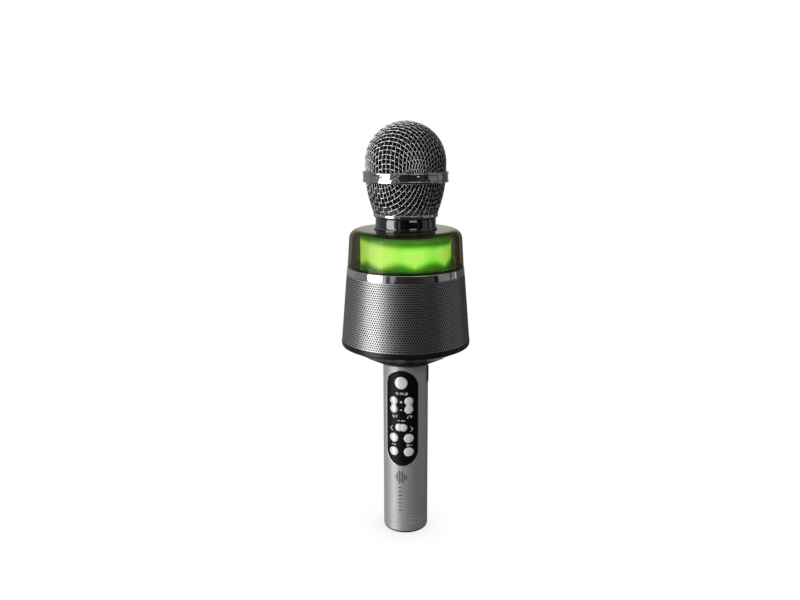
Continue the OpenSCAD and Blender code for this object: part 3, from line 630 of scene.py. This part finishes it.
def wires(skin, crossings, from_s, to_s, turned):
    """Both families of wires of a net, each going over and under the other."""
    s, phi = crossings
    phi = phi + math.radians(turned)
    size = s.shape[0]
    parts = 5
    paths = []
    for family in (0, 1):
        for row in range(size):
            line_s = s[:, row] if family == 0 else s[row, :]
            line_phi = phi[:, row] if family == 0 else phi[row, :]
            good = ~np.isnan(line_s)
            k = 0
            while k < size:
                if not good[k]:
                    k += 1
                    continue
                end = k
                while end + 1 < size and good[end + 1]:
                    end += 1
                if end - k >= 2:
                    knot = skin.place(line_s[k:end + 1], line_phi[k:end + 1])
                    out = skin.normal(line_s[k:end + 1], line_phi[k:end + 1])
                    t = np.arange((end - k) * parts + 1) / parts
                    base = np.minimum(t.astype(int), end - k - 1)
                    f = (t - base)[:, None]
                    p0, p1 = knot[np.maximum(base - 1, 0)], knot[base]
                    p2, p3 = knot[base + 1], knot[np.minimum(base + 2, end - k)]
                    at = 0.5 * (2 * p1 + (p2 - p0) * f + (2 * p0 - 5 * p1 + 4 * p2 - p3) * f ** 2
                                + (3 * p1 - p0 - 3 * p2 + p3) * f ** 3)
                    up = out[base] * (1 - f) + out[base + 1] * f
                    up /= np.linalg.norm(up, axis=1)[:, None]
                    far = np.interp(t + k, np.arange(k, end + 1), line_s[k:end + 1])
                    flip = (-1) ** ((row + k + family) % 2)
                    at = at + up * (LIFT * flip * np.cos(math.pi * t))[:, None]
                    inside = (far >= from_s) & (far <= to_s)
                    edge = np.flatnonzero(np.diff(np.concatenate([[0], inside.astype(int), [0]])))
                    for lo, hi in zip(edge[::2], edge[1::2]):
                        if hi - lo >= 4:
                            paths.append((at[lo:hi], up[lo:hi]))
                k = end + 1
    return paths


def wire_cloth(name, node, *cloth):
    """Cloth of round wires in the place of a CAD shell."""
    at, faces, normals = tubes(wires(*cloth), WIRE_R)
    build(name, at, faces, FINISH["mesh_wire"], "grille_head", (node,), normals)


WIRE_R = 0.26
LIFT = 0.18         # how far a wire swings out and in at the crossings
PITCH = 2.7
INSET = 0.55        # the middle of the cloth lies this far inside the CAD shell
RIM_GAP = 0.7       # the cloths end this far from the middle of the band
UPPER_TURN, LOWER_TURN = -106, -121
band_low, band_high = heights("grille_band")
waist = (band_low + band_high) / 2
ball_top = heights("upper_mesh")[1]
ball_r = width("upper_mesh")
ball_z = ball_top - ball_r
mid_r = ball_r - INSET
dome = [(mid_r * math.sin(a), ball_z + mid_r * math.cos(a)) for a in np.linspace(0, math.pi / 2, 200)]
dome += [(mid_r, ball_z - d) for d in np.linspace(0.2, 24, 40)]
upper_skin = Skin(dome, 1)
dome_length = mid_r * math.pi / 2 + ball_z - waist - RIM_GAP
crossings = net(upper_skin, PITCH, dome_length)
wire_cloth("upper_wire_cloth", "upper_mesh", upper_skin, crossings, 0.0, dome_length, UPPER_TURN)

basket_low, basket_high = heights("lower_mesh")
at_low = reach("lower_mesh", basket_low)
at_high = reach("lower_mesh", basket_high)
full = math.sin(math.pi / 2 * (basket_high - basket_low) / (waist - basket_low))
swell = (at_high - at_low) / full


def basket_r(z):
    """Radius of the lower wire cloth: it swells from its foot to the band."""
    share = min(1, max(0, (z - basket_low) / (waist - basket_low)))
    return at_low + swell * math.sin(math.pi / 2 * share) - INSET


RUN_OUT = 3.0       # the skin starts this far below the basket
FLAT_R = 12.7       # radius of the flat cloth that lies at the skin's start
SHRINK = 0.94       # flat cloth used up by each mm of skin
wall_z = np.concatenate([np.linspace(basket_low - RUN_OUT, waist, 80), [waist + 12]])
lower_skin = Skin([(basket_r(z), z) for z in wall_z], -1)
bottom_s, rim_s = np.interp([basket_low - 0.6, waist - RIM_GAP], lower_skin.z, lower_skin.s)
grid = (np.arange(-22, 23) + 0.4) * PITCH
flat_x, flat_y = np.meshgrid(grid, grid, indexing="ij")
lower_s = (np.hypot(flat_x, flat_y) - FLAT_R) / SHRINK
lower_s[(lower_s < 0) | (lower_s > rim_s + 8)] = np.nan
crossings = (lower_s, np.arctan2(flat_y, flat_x))
wire_cloth("lower_wire_cloth", "lower_mesh", lower_skin, crossings, bottom_s, rim_s, LOWER_TURN)


# ---- Foam under the wires ----

def foam():
    """Foam liner with a slightly uneven skin and room for the capsule inside."""
    low = heights("foam_liner")[0]
    room = 18.7
    skin_r = width("foam_liner") - 0.12
    inner = bore("foam_liner", low)
    outline = [(inner, low, 0.4), (basket_r(low) - 0.95, low, 0.8)]
    outline += [(basket_r(z) - 0.85, z, SOFT) for z in np.linspace(low + 1.4, waist - 1, 14)]
    outline += [(skin_r, z, SOFT) for z in np.linspace(waist + 0.2, ball_z - 0.5, 6)]
    outline += [(skin_r * math.cos(a), ball_z + skin_r * math.sin(a), SOFT) for a in np.linspace(0, 1.52, 30)]
    outline += [(0, ball_z + skin_r), (0, ball_z + room)]
    outline += [(room * math.cos(a), ball_z + room * math.sin(a), SOFT) for a in np.linspace(1.5, 0, 16)]
    piece = lathe("foam_windscreen", outline, "black_foam", "grille_head", ("foam_liner",), steps=160)
    mesh = piece.data
    at = np.array([v.co for v in mesh.vertices])
    rng = np.random.default_rng(7)
    out = np.array([v.normal for v in mesh.vertices])
    shift = rng.uniform(-0.1, 0.02, len(at)) * MM
    keep = at[:, 2] > (low + 0.5) * MM
    mesh.vertices.foreach_set("co", (at + out * (shift * keep)[:, None]).ravel())
    mesh.update()


foam()


# ---- Head: band, ring, collar ----

band_r = width("grille_band")
band_bore = bore("grille_band", band_low)
spacer = bore("grille_band", waist - 0.4, waist + 0.4)
lathe("band_chrome_ring", [
    (band_bore, band_low, 0.15), (band_r - 0.75, band_low, 0.3), (band_r, band_low + 0.55, 0.45),
    (band_r, band_low + 1.35, 0.35), (band_r - 0.35, band_low + 1.65, 0.3),
    (band_r - 0.28, waist, SOFT),
    (band_r - 0.35, band_high - 1.65, 0.3), (band_r, band_high - 1.35, 0.35),
    (band_r, band_high - 0.55, 0.45), (band_r - 0.75, band_high, 0.3), (band_bore, band_high, 0.15),
    (band_bore, waist + 0.4, 0.1),
    (spacer, waist + 0.4, 0.1), (spacer, waist - 0.4, 0.1), (band_bore, waist - 0.4, 0.1)],
    "band_chrome", "grille_head", ("grille_band",), FINISH["wavy_chrome"])

ring_low, ring_sleeve = heights("grille_base_ring")
ring_r = width("grille_base_ring")
ring_bore = bore("grille_base_ring", ring_low)
ring_high = basket_low - 0.05
sleeve_r = reach("grille_base_ring", ring_high + 1, ring_sleeve)
lathe("head_base_ring", [
    (sleeve_r + 0.02, ring_low, 0.1), (ring_r - 0.5, ring_low, 0.2), (ring_r, ring_low + 0.5, 0.35),
    (ring_r, ring_high - 0.4, 0.35), (ring_r - 0.3, ring_high, 0.2), (sleeve_r + 0.02, ring_high, 0.1)],
    "band_chrome", "grille_head", ("grille_base_ring",))
lathe("head_thread_sleeve", [
    (ring_bore, ring_low + 0.02, 0.1), (sleeve_r, ring_low + 0.02, 0.1), (sleeve_r, ring_sleeve, 0.4),
    (ring_bore, ring_sleeve, 0.2)], "inner_plastic", "grille_head", ("grille_base_ring",))

collar_low, collar_high = heights("neck_collar")
lip_r = width("neck_collar")
neck_r = reach("neck_collar", collar_low + 1.7, collar_high - 0.4)
collar_bore = bore("neck_collar", collar_low)
lathe("neck_collar_gloss", [
    (collar_bore, collar_low, 0.1), (lip_r, collar_low, 0.08), (lip_r, collar_low + 0.75, 0.3),
    (neck_r + 0.25, collar_low + 1.35, 0.35), (neck_r, collar_low + 2.0, 0.5),
    (neck_r, collar_high - 1.5, 0.5), (neck_r - 0.45, collar_high, 0.3), (collar_bore, collar_high, 0.1)],
    "black_chrome", "mic_body", ("neck_collar",))


# ---- Light section ----

cover_low, cover_top = heights("light_cover")
cover_r = width("light_cover")
cover_hole = bore("light_cover", cover_top)
shoulder = 6.0
wall = 2.0
cover_high_r = reach("light_cover", cover_top - shoulder)


def shoulder_arc(r, angles):
    """Quarter round of the cover's shoulder at radius r."""
    middle_r, middle_z = cover_high_r - shoulder, cover_top - shoulder
    return [(middle_r + r * math.cos(a), middle_z + r * math.sin(a), SOFT) for a in angles]


lathe("light_cover_shell", [
    (cover_r - wall, cover_low), (cover_r, cover_low, 0.15), (cover_high_r, cover_top - shoulder, SOFT),
    *shoulder_arc(shoulder, np.linspace(0.12, math.pi / 2, 14)), (cover_hole, cover_top),
    (cover_hole, cover_top - wall), *shoulder_arc(shoulder - wall, np.linspace(math.pi / 2, 0, 12))],
    "smoked_cover", "mic_body", ("light_cover",))

trim_low, trim_high = heights("trim_band")
trim_r = width("trim_band")
trim_top_r = reach("trim_band", trim_high - 0.3, trim_high - 0.15)
trim_bore = bore("trim_band", trim_low, trim_high)
lathe("trim_band_ring", [
    (trim_bore, trim_low, 0.1), (trim_r - 0.25, trim_low, 0.15), (trim_r, trim_low + 0.3, 0.25),
    (trim_top_r, trim_high - 0.3, 0.25), (trim_top_r - 0.3, trim_high, 0.15), (trim_bore, trim_high, 0.1)],
    "band_chrome", "mic_body", ("trim_band",))


# ---- Perforated grille ----

def perforated():
    """Punched sheet: two skins of cells with a round hole each, then the walls of the holes and the edges;
    all but the outer skin get a near-black finish as painted shade.
    """
    node = "speaker_grille"
    low, high = heights(node)
    low_r, high_r = reach(node, low), reach(node, high)
    sheet = low_r - bore(node, low)
    columns, rows, hole, margin = 156, 30, 0.54, 0.4
    sides = 12
    whole = 2 * columns
    pitch = (high - low - 2 * margin) / rows
    half = math.pi / columns
    corners = ((-1, -1), (0, -1), (1, -1), (1, 1), (0, 1), (-1, 1))
    spans = ((0, 1, 0, 2), (1, 2, 2, 3), (2, 3, 3, 6), (3, 4, 6, 8), (4, 5, 8, 9), (5, 0, 9, 12))

    def skin_r(z):
        return low_r + (high_r - low_r) * (z - low) / (high - low)

    at, faces = [], []
    for skin in (0, 1):
        def point(angle, z, skin=skin):
            r = skin_r(z) - skin * sheet
            return r * math.cos(angle), r * math.sin(angle), z

        for row in range(rows):
            z = low + margin + (row + 0.5) * pitch
            for column in range(columns):
                a = (2 * column + row % 2) * half
                start = len(at)
                at += [point(a + p * half, z + q * pitch / 2) for p, q in corners]
                for k in range(sides):
                    turn = -0.75 * math.pi + 2 * math.pi * k / sides
                    at.append(point(a + hole * math.cos(turn) / skin_r(z), z + hole * math.sin(turn)))
                for p, q, h, k in spans:
                    rim = [start + 6 + i % sides for i in range(k, h - 1, -1)]
                    face = [start + p, start + q] + rim
                    faces.append(face if skin == 0 else face[::-1])
        for edge_z, near_z in ((low, low + margin), (high, high - margin)):
            start = len(at)
            for k in range(whole):
                a = (k - 1) * half
                at += [point(a, edge_z), point(a, near_z)]
            for k in range(whole):
                i, j = start + 2 * k, start + 2 * ((k + 1) % whole)
                face = [i, j, j + 1, i + 1]
                faces.append(face[::-1] if (edge_z > near_z) != (skin == 1) else face)
    at = np.array(at)
    block = len(at) // 2
    cells = rows * columns
    for cell in range(cells):
        for k in range(sides):
            i, j = cell * 18 + 6 + k, cell * 18 + 6 + (k + 1) % sides
            faces.append([i, j, j + block, i + block])
    rings = cells * 18
    for part in range(2):
        for k in range(whole):
            i = rings + part * 2 * whole + 2 * k
            j = rings + part * 2 * whole + 2 * ((k + 1) % whole)
            face = [i, i + block, j + block, j]
            faces.append(face if part == 0 else face[::-1])
    key = np.round(at * 2000).astype(np.int64)
    _, keep, back = np.unique(key, axis=0, return_index=True, return_inverse=True)
    back = back.ravel()
    faces = [[int(back[i]) for i in face] for face in faces]
    at = at[keep]
    slope = unit((high - low, low_r - high_r))
    normals, inside = [], []
    for face in faces:
        ring = at[face]
        spread = np.cross(ring[1] - ring[0], ring[2] - ring[1])
        spread = spread / max(np.linalg.norm(spread), 1e-12)
        out = unit((ring[:, 0].mean(), ring[:, 1].mean(), 0))
        lean = np.array([out[0] * slope[0], out[1] * slope[0], slope[1]])
        facing = float(spread @ lean)
        # Faces that do not face outwards take the second, near-black finish: painted shade in the holes.
        inside.append(0 if facing > 0.8 else 1)
        if abs(facing) > 0.8:
            r = np.hypot(ring[:, 0], ring[:, 1])[:, None]
            n = np.concatenate([ring[:, :2] / r * slope[0], np.full((len(ring), 1), slope[1])], 1)
            normals.extend(n * (1 if facing > 0 else -1))
        else:
            normals.extend([spread] * len(face))
    piece = build("perforated_grille", at, faces, FINISH["grille_sheet"], "mic_body",
                  ("speaker_grille",), normals)
    # Painted shade: the walls of the holes, the inner skin and the edges are near-black.
    piece.data.materials.append(FINISH["hole_painted_shade"])
    piece.data.polygons.foreach_set("material_index", inside)


perforated()

cloth_low, cloth_high = heights("grille_cloth")
cloth_low_r = reach("grille_cloth", cloth_low)
cloth_high_r = reach("grille_cloth", cloth_high)
lathe("acoustic_cloth", [
    (cloth_low_r - 0.4, cloth_low, 0.1), (cloth_low_r - 0.03, cloth_low, 0.1),
    (cloth_high_r - 0.03, cloth_high, 0.1), (cloth_high_r - 0.4, cloth_high, 0.1)],
    "black_cloth", "mic_body", ("grille_cloth",))


# ---- Handle ----

def round_normals(node):
    """Gives a CAD node that is turned round Z the normals of its true curved faces."""
    mesh = NODES[node].data
    at = np.array([v.co for v in mesh.vertices])
    normals = np.zeros((len(mesh.loops), 3))
    for face in mesh.polygons:
        ids = list(face.vertices)
        n = np.array(face.normal)
        mean = at[ids].mean(0)
        far = math.hypot(mean[0], mean[1])
        ring = at[ids]
        ring_r = np.hypot(ring[:, 0], ring[:, 1])
        if far < 1e-6 or ring_r.min() < 1e-6:
            normals[list(face.loop_indices)] = n
            continue
        e_r = np.array([mean[0], mean[1]]) / far
        round_part = n[:2] @ e_r
        swirl = -n[0] * e_r[1] + n[1] * e_r[0]
        if abs(swirl) > 0.12 or abs(round_part) < 0.02:
            normals[list(face.loop_indices)] = n
            continue
        radial = ring[:, :2] / ring_r[:, None] * round_part
        new = np.concatenate([radial, np.full((len(ids), 1), n[2])], 1)
        normals[list(face.loop_indices)] = new / np.linalg.norm(new, axis=1)[:, None]
    mesh.polygons.foreach_set("use_smooth", [True] * len(mesh.polygons))
    mesh.normals_split_custom_set(normals.tolist())


for name in ("handle_tube", "control_panel", "bottom_cover", "light_diffuser", "port_bezel", "head_washer",
             "neck_core", "capsule", "capsule_post", "shock_mount", "light_core", "led_board", "end_cap",
             "base_plug", "battery_cell"):
    round_normals(name)

tube_r = width("handle_tube")
panel_low, panel_high = heights("control_panel")
panel_r = width("control_panel")


def wrap(x, z, r):
    """Points at radius r on the front of the handle, from their sideways places x and heights z."""
    x = np.asarray(x, float)
    y = -np.sqrt(np.maximum(r * r - x * x, 0))
    return np.stack([x, y, np.asarray(z, float) + 0 * x], -1)


def stadium(half, low, high):
    """Closed outline of a slot with round ends, anticlockwise in (x, z)."""
    up, down = high - half, low + half
    arc = np.linspace(0, math.pi, 28)
    top = [(half * math.cos(a), up + half * math.sin(a)) for a in arc]
    foot = [(half * math.cos(a), down + half * math.sin(a)) for a in arc + math.pi]
    side = np.linspace(0, 1, 24)[1:-1]
    left = [(-half, up + (down - up) * t) for t in side]
    right = [(half, down + (up - down) * t) for t in side]
    return top + left + foot + right


def panel_rim():
    """Polished frame that fills the step between the panel and the tube."""
    half = float(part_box("control_panel")[1].x) / MM
    rings = [(0.03, tube_r - 0.27), (0.02, panel_r + 0.02), (0.08, tube_r - 0.05), (0.2, tube_r),
             (0.32, tube_r - 0.02), (0.34, tube_r - 0.27)]
    at = []
    for grow, r in rings:
        shape = np.array(stadium(half + grow, panel_low - grow, panel_high + grow))
        at.append(wrap(shape[:, 0], shape[:, 1], r))
    whole = len(rings)
    faces = bands([(k, (k + 1) % whole) for k in range(whole)], len(at[0]))
    piece = build("panel_rim", np.concatenate(at), faces, FINISH["rim_metal"], "mic_body")
    piece.data.set_sharp_from_angle(angle=math.radians(50))


panel_rim()


# ---- Keys ----

KEY_FOOT = -11.2    # y of the flat underside of every key cap


def key_top(name, node, body, outline, height):
    """Chrome key cap: an outline in (x, z), a height field over it and walls down to KEY_FOOT."""
    shares = [1.0, 1.0, 0.985, 0.955, 0.91, 0.84, 0.75, 0.64, 0.52, 0.4, 0.28, 0.16, 0.07]
    middle = outline.mean(0)
    at = []
    for k, share in enumerate(shares):
        shape = middle + (outline - middle) * share
        if k == 0:
            at.append(np.stack([shape[:, 0], np.full(len(shape), KEY_FOOT), shape[:, 1]], -1))
        else:
            at.append(wrap(shape[:, 0], shape[:, 1], panel_r + height(shape, share)))
    at = np.concatenate(at)
    at = np.concatenate([at, wrap([middle[0]], [middle[1]], panel_r + height(middle[None], 0.0))])
    count = len(outline)
    faces = bands([(k, k + 1) for k in range(len(shares) - 1)], count)
    last = (len(shares) - 1) * count
    faces += [[last + i, len(at) - 1, last + (i + 1) % count] for i in range(count)]
    faces.append(list(range(count)))
    piece = build(name, at, faces, FINISH["key_chrome"], body, (node,))
    piece.data.set_sharp_from_angle(angle=math.radians(62))


def edge_drop(share, depth):
    """Rounded rim: 0 over most of the key, falling to -depth at the edge."""
    t = np.clip((np.asarray(share, float) - 0.84) / 0.16, 0, 1)
    return -depth * (1 - np.sqrt(np.maximum(0, 1 - t * t)))


def cap_centre(node):
    """Middle of a key's showing top in (x, z) and half its height, in mm."""
    at = points_of(node)
    top = at[np.hypot(at[:, 0], at[:, 1]) > panel_r - 0.6]
    low, high = top.min(0), top.max(0)
    return (low[0] + high[0]) / 2, (low[2] + high[2]) / 2, (high[2] - low[2]) / 2


def round_key(name, node, body, rise):
    """Round cap with a dome of a given rise."""
    x, z, r = cap_centre(node)
    turn = np.linspace(0, 2 * math.pi, 73)[:-1]
    outline = np.stack([x + r * np.cos(turn), z + r * np.sin(turn)], -1)

    def height(shape, share):
        far = np.hypot(shape[:, 0] - x, shape[:, 1] - z) / r
        return rise * (0.62 + 0.36 * (1 - far ** 2)) + edge_drop(share, 0.4)

    key_top(name, node, body, outline, height)


def rocker(name, node, body, upright, lobe, off, waist_half):
    """Cap of two round lobes, each off from the middle, that a waist joins."""
    x, z, _ = cap_centre(node)
    far = []
    for a in np.linspace(0, 2 * math.pi, 121)[:-1]:
        d = np.array([math.cos(a), math.sin(a)])
        best = 0.0
        for side in (-1, 1):
            c = np.array([0, side * off])
            b = d @ c
            root = b * b - (c @ c - lobe * lobe)
            if root > 0:
                best = max(best, b + math.sqrt(root))
        if abs(d[0]) > 1e-6:
            edge = waist_half / abs(d[0])
            if abs(edge * d[1]) <= off:
                best = max(best, edge)
        far.append(d * best)
    far = np.array(far)
    if not upright:
        far = far[:, ::-1] * [1, -1]
    outline = far + [x, z]

    def height(shape, share):
        local = shape - [x, z]
        if not upright:
            local = local[:, ::-1]
        near = np.minimum(np.hypot(local[:, 0], local[:, 1] - off), np.hypot(local[:, 0], local[:, 1] + off))
        pillow = np.clip(1 - (near / lobe) ** 2, 0, 1)
        return 0.22 + 0.5 * pillow ** 0.6 + edge_drop(share, 0.25)

    key_top(name, node, body, outline, height)


for key, rise in (("power", 0.76), ("play", 0.74), ("mode", 0.74), ("effects", 0.74), ("light", 0.74)):
    round_key(key + "_key_cap", key + "_button", key + "_key", rise)
for key in ("mic_volume", "music_volume"):
    rocker(key + "_cap", key + "_rocker", key + "_key", True, 2.6, 2.8, 1.5)
rocker("track_cap", "track_rocker", "track_key", False, 2.5, 1.4, 1.5)


# ---- Printed marks ----

def marks(name, strokes, r, material, lift=0.03):
    """Thin raised strokes on the round front: each is (points in (x, z), width)."""
    at, faces = [], []
    for line, thick in strokes:
        line = np.array(line, float)
        closed = len(line) > 2 and np.allclose(line[0], line[-1])
        fine = [line[0]]
        for p, q in zip(line, line[1:]):
            parts = max(1, int(np.linalg.norm(q - p) / 0.6))
            fine += [p + (q - p) * k / parts for k in range(1, parts + 1)]
        line = np.array(fine)
        way = np.gradient(line, axis=0)
        if closed:
            way[0] = way[-1] = line[1] - line[-2]
        way /= np.maximum(np.linalg.norm(way, axis=1), 1e-9)[:, None]
        side = np.stack([-way[:, 1], way[:, 0]], -1) * thick / 2
        if not closed:
            line = line.copy()
            line[0] -= way[0] * thick * 0.35
            line[-1] += way[-1] * thick * 0.35
        start = len(at)
        for p, d in zip(line, side):
            for q, deep in ((p - d, -0.02), (p - d * 0.9, lift), (p + d * 0.9, lift), (p + d, -0.02)):
                at.append(wrap([q[0]], [q[1]], r + deep)[0])
        n = len(line)
        for k in range(n - 1):
            a = start + 4 * k
            for i in range(4):
                j = (i + 1) % 4
                faces.append([a + i, a + j, a + 4 + j, a + 4 + i])
        faces.append([start + i for i in (3, 2, 1, 0)])
        faces.append([start + 4 * (n - 1) + i for i in (0, 1, 2, 3)])
    piece = build(name, at, faces, material, "mic_body")
    piece.data.set_sharp_from_angle(angle=math.radians(30))


def circle(x, z, r, from_deg=0, to_deg=360, steps=20):
    return [(x + r * math.cos(math.radians(a)), z + r * math.sin(math.radians(a)))
            for a in np.linspace(from_deg, to_deg, steps)]


def tick(x, z, half):
    """Upright stroke."""
    return [([(x, z - half), (x, z + half)], THIN)]


def triangle(x, z, half, wide):
    """Closed arrow head that points right."""
    return [([(x, z - half), (x, z + half), (x + wide, z), (x, z - half)], THIN)]


def waves(x, z):
    """Two arcs of sound that run to the right."""
    return [(circle(x, z, 0.95, -35, 35, 6), THIN), (circle(x, z, 1.45, -35, 35, 7), THIN)]


def arrow(x, z, way):
    """Open arrow head whose point lies way mm to the side of its ends."""
    return [([(x, z + 1.5), (x + way, z), (x, z - 1.5)], 0.36)]


volume_z, track_z, power_z, high_z, low_z = (cap_centre(node)[1] for node in (
    "music_volume_rocker", "track_rocker", "power_button", "mode_button", "light_button"))
THIN, BOLD = 0.26, 0.42
plus_z, minus_z, arrow_z = volume_z + 2.2, volume_z - 3.0, track_z - 1.0
white = [([(-0.7, plus_z), (0.7, plus_z)], BOLD), ([(0, plus_z - 0.7), (0, plus_z + 0.7)], BOLD),
         ([(-0.6, minus_z), (0.6, minus_z)], BOLD)]
white += arrow(-5.7, arrow_z, -1.4) + arrow(5.9, arrow_z, 1.4)

# Under the power key: an open ring with a stroke, five level bars and two joined notes
row = power_z - 6.9
white += [(circle(-2.5, row, 0.75, 115, 425), THIN), ([(-2.5, row + 0.2), (-2.5, row + 1.0)], THIN)]
for k, tall in enumerate((0.5, 1.0, 0.7, 0.95, 0.4)):
    white += tick(-0.6 + 0.55 * k, row, tall * 0.8)
white += [([(2.9, row - 0.7), (2.9, row + 0.6), (3.9, row + 0.85), (3.9, row - 0.45)], THIN),
          (circle(2.65, row - 0.7, 0.26), THIN), (circle(3.65, row - 0.45, 0.26), THIN)]

# Under the volume keys: a microphone and a note, each with sound waves
row = volume_z - 7.3
box = [(-5.2, row - 0.2), (-5.2, row + 0.7), (-4.5, row + 0.7), (-4.5, row - 0.2), (-5.2, row - 0.2)]
white += [(box, THIN), (circle(-4.85, row, 0.85, 195, 345, 10), THIN)]
white += [([(-4.85, row - 0.85), (-4.85, row - 1.15)], THIN)]
white += waves(-4.2, row)
white += [([(4.3, row - 0.7), (4.3, row + 0.8), (5.4, row + 0.5)], THIN)]
white += [(circle(4.0, row - 0.75, 0.3), THIN)]
white += waves(5.1, row)

# Over the track key: two arrow heads, two bars and a dash
row = track_z + 4.6
white += triangle(-2.2, row, 0.5, 0.8) + triangle(-1.2, row, 0.5, 0.8)
white += tick(0.5, row, 0.5) + tick(1.0, row, 0.5) + [([(1.7, row), (2.5, row)], THIN)]

# Between the two rows of lower keys: play and pause, a lamp with eight rays, and a zigzag
row = (high_z + low_z) / 2
white += triangle(-5.9, row, 0.6, 1.0) + tick(-4.4, row, 0.6) + tick(-3.9, row, 0.6)
white += [(circle(4.2, row, 0.45), THIN)]
for a in np.arange(8) * math.pi / 4:
    white.append(([(4.2 + r * math.cos(a), row + r * math.sin(a)) for r in (0.7, 1.05)], 0.18))
white += [([(5.7, row - 0.5), (6.1, row + 0.5), (6.5, row - 0.5), (6.9, row + 0.5)], THIN)]
marks("panel_symbols", white, panel_r, FINISH["print_white"])

# Down the handle: seven level bars, then seven dashes of two lengths below them
BARS_Z, DASHES_Z, MARK_X = 38.6, 31.4, -0.6
dark = []
for k, tall in enumerate((1.6, 3.4, 5.2, 3.9, 4.6, 2.4, 1.3)):
    x = -3.3 + 1.1 * k
    dark.append(([(x, BARS_Z - tall * 0.85), (x, BARS_Z + tall * 0.85)], 0.62))
for k in range(7):
    z = DASHES_Z - 2.6 * k
    wide = 1.5 if k % 2 else 2.2
    dark.append(([(MARK_X - wide / 2, z), (MARK_X + wide / 2, z)], 0.55))
marks("handle_level_mark", dark, tube_r, FINISH["print_dark"], 0.015)


# ---- Finishes of the CAD nodes ----

for name, node in NODES.items():
    if len(node.data.materials) == 0:
        node.data.materials.append(FINISH[SLOT_OF[name]])
    for k in range(len(node.data.materials)):
        node.data.materials[k] = FINISH["panel_black"] if name == "control_panel" else FINISH[SLOT_OF[name]]


# ---- Floor, light and camera ----

def floor():
    """Round floor, 4 m in radius; reflections and bounced light leave it out."""
    mesh = bpy.data.meshes.new("floor")
    r, sides = 4, 96
    turn = np.arange(sides) * 2 * math.pi / sides
    at = [(r * math.cos(a), r * math.sin(a), cad_low.z) for a in turn]
    mesh.from_pydata(at, [], [list(range(sides))])
    mesh.materials.append(floor_finish())
    piece = bpy.data.objects.new("floor", mesh)
    piece.visible_glossy = piece.visible_diffuse = piece.visible_shadow = False
    bpy.context.scene.collection.objects.link(piece)


def softbox(name, azimuth, distance, height, wide, tall, radiance, mirrored=True):
    """Area light at an azimuth, aimed at the axis; only a mirrored one shows in reflections."""
    light = bpy.data.lights.new(name, "AREA")
    light.shape = "RECTANGLE"
    light.size, light.size_y = wide, tall
    light.energy = radiance * math.pi * wide * tall
    lamp = bpy.data.objects.new(name, light)
    a = math.radians(azimuth)
    lamp.location = (distance * math.sin(a), -distance * math.cos(a), height)
    aim = Vector((0, 0, 0.15)) - lamp.location
    lamp.rotation_euler = aim.to_track_quat("-Z", "Y").to_euler()
    lamp.visible_camera = False
    lamp.visible_glossy = mirrored
    bpy.context.scene.collection.objects.link(lamp)


def surroundings(view_deg):
    """White backdrop for the camera; a light-left, dark-right studio for reflections."""
    world = bpy.data.worlds.new("studio")
    bpy.context.scene.world = world
    world.use_nodes = True
    g = Graph("studio", world.node_tree)
    x, y, z = g.add("SeparateXYZ", {0: g.add("TexCoord").outputs["Generated"]}).outputs
    angle = g.plus(g.math("ARCTAN2", x, y), math.radians(view_deg))
    turn = g.math("FRACT", g.plus(g.math("DIVIDE", angle, 2 * math.pi), 0.5))
    # Degrees to the right of the camera's side, and the grey of the studio there
    grey = [(-180, 0.9), (-170, 0.5), (-158, 0.24), (-116, 0.28), (-112, 0.2), (-80, 0.22), (-76, 0.1),
            (-45, 0.12), (-43, 0.5), (-37, 0.45), (-36, 0.06), (-29, 0.08), (-28, 0.35), (-22, 0.3),
            (-20, 0.03), (20, 0.02), (54, 0.05), (56, 0.01), (64, 0.01), (66, 0.18), (92, 0.22), (94, 0.01),
            (98, 0.02), (100, 0.2), (108, 0.2), (109, 0.02), (112, 0.03), (114, 0.07), (160, 0.1),
            (180, 0.9)]
    places = sorted((-degrees / 360 % 1, level) for degrees, level in grey)
    ring = g.ramp(turn, *[(place, (level, level, level)) for place, level in places])
    up = g.span(z, 0.45, 0.95, 0, 1)
    sky = g.blend(up, ring, (0.3, 0.3, 0.3))
    sky = g.blend(g.span(z, -0.42, -0.6), sky, (0.02, 0.02, 0.02))
    lit = g.add("Background", {"Color": sky, "Strength": 1.0})
    white_back = g.add("Background", {"Color": (1, 1, 1), "Strength": 1.0})
    seen = g.add("LightPath").outputs["Is Camera Ray"]
    g.add("OutputWorld", {"Surface": g.add("MixShader", {0: seen, 1: lit, 2: white_back})})


CAMERA_AZIMUTH = 12.0
DIP = 12.4
DISTANCE = 0.486
CAMERA_HEIGHT = 0.2577
SHIFT = -0.007125    # share of the picture's width that sets the microphone off from the middle
floor()
surroundings(CAMERA_AZIMUTH)
softbox("key", CAMERA_AZIMUTH - 60, 0.9, 0.15, 0.5, 1.5, 3.6)
softbox("strip_far", CAMERA_AZIMUTH + 110, 0.9, 0.15, 0.08, 1.2, 0.45)
softbox("front", CAMERA_AZIMUTH + 30, 1.2, 0.85, 0.6, 0.35, 1.6)
softbox("fill", CAMERA_AZIMUTH + 25, 1.2, 0.75, 0.6, 0.35, 8.0, False)

camera_data = bpy.data.cameras.new("camera")
camera_data.lens = 36
camera_data.sensor_width = 36
camera_data.shift_x = SHIFT
camera_data.clip_start = 0.01
camera = bpy.data.objects.new("camera", camera_data)
a = math.radians(CAMERA_AZIMUTH)
camera.location = (DISTANCE * math.sin(a), -DISTANCE * math.cos(a), CAMERA_HEIGHT)
camera.rotation_euler = (math.radians(90 - DIP), 0, a)
bpy.context.scene.collection.objects.link(camera)
bpy.context.scene.camera = camera
bpy.context.scene.view_settings.view_transform = "Standard"
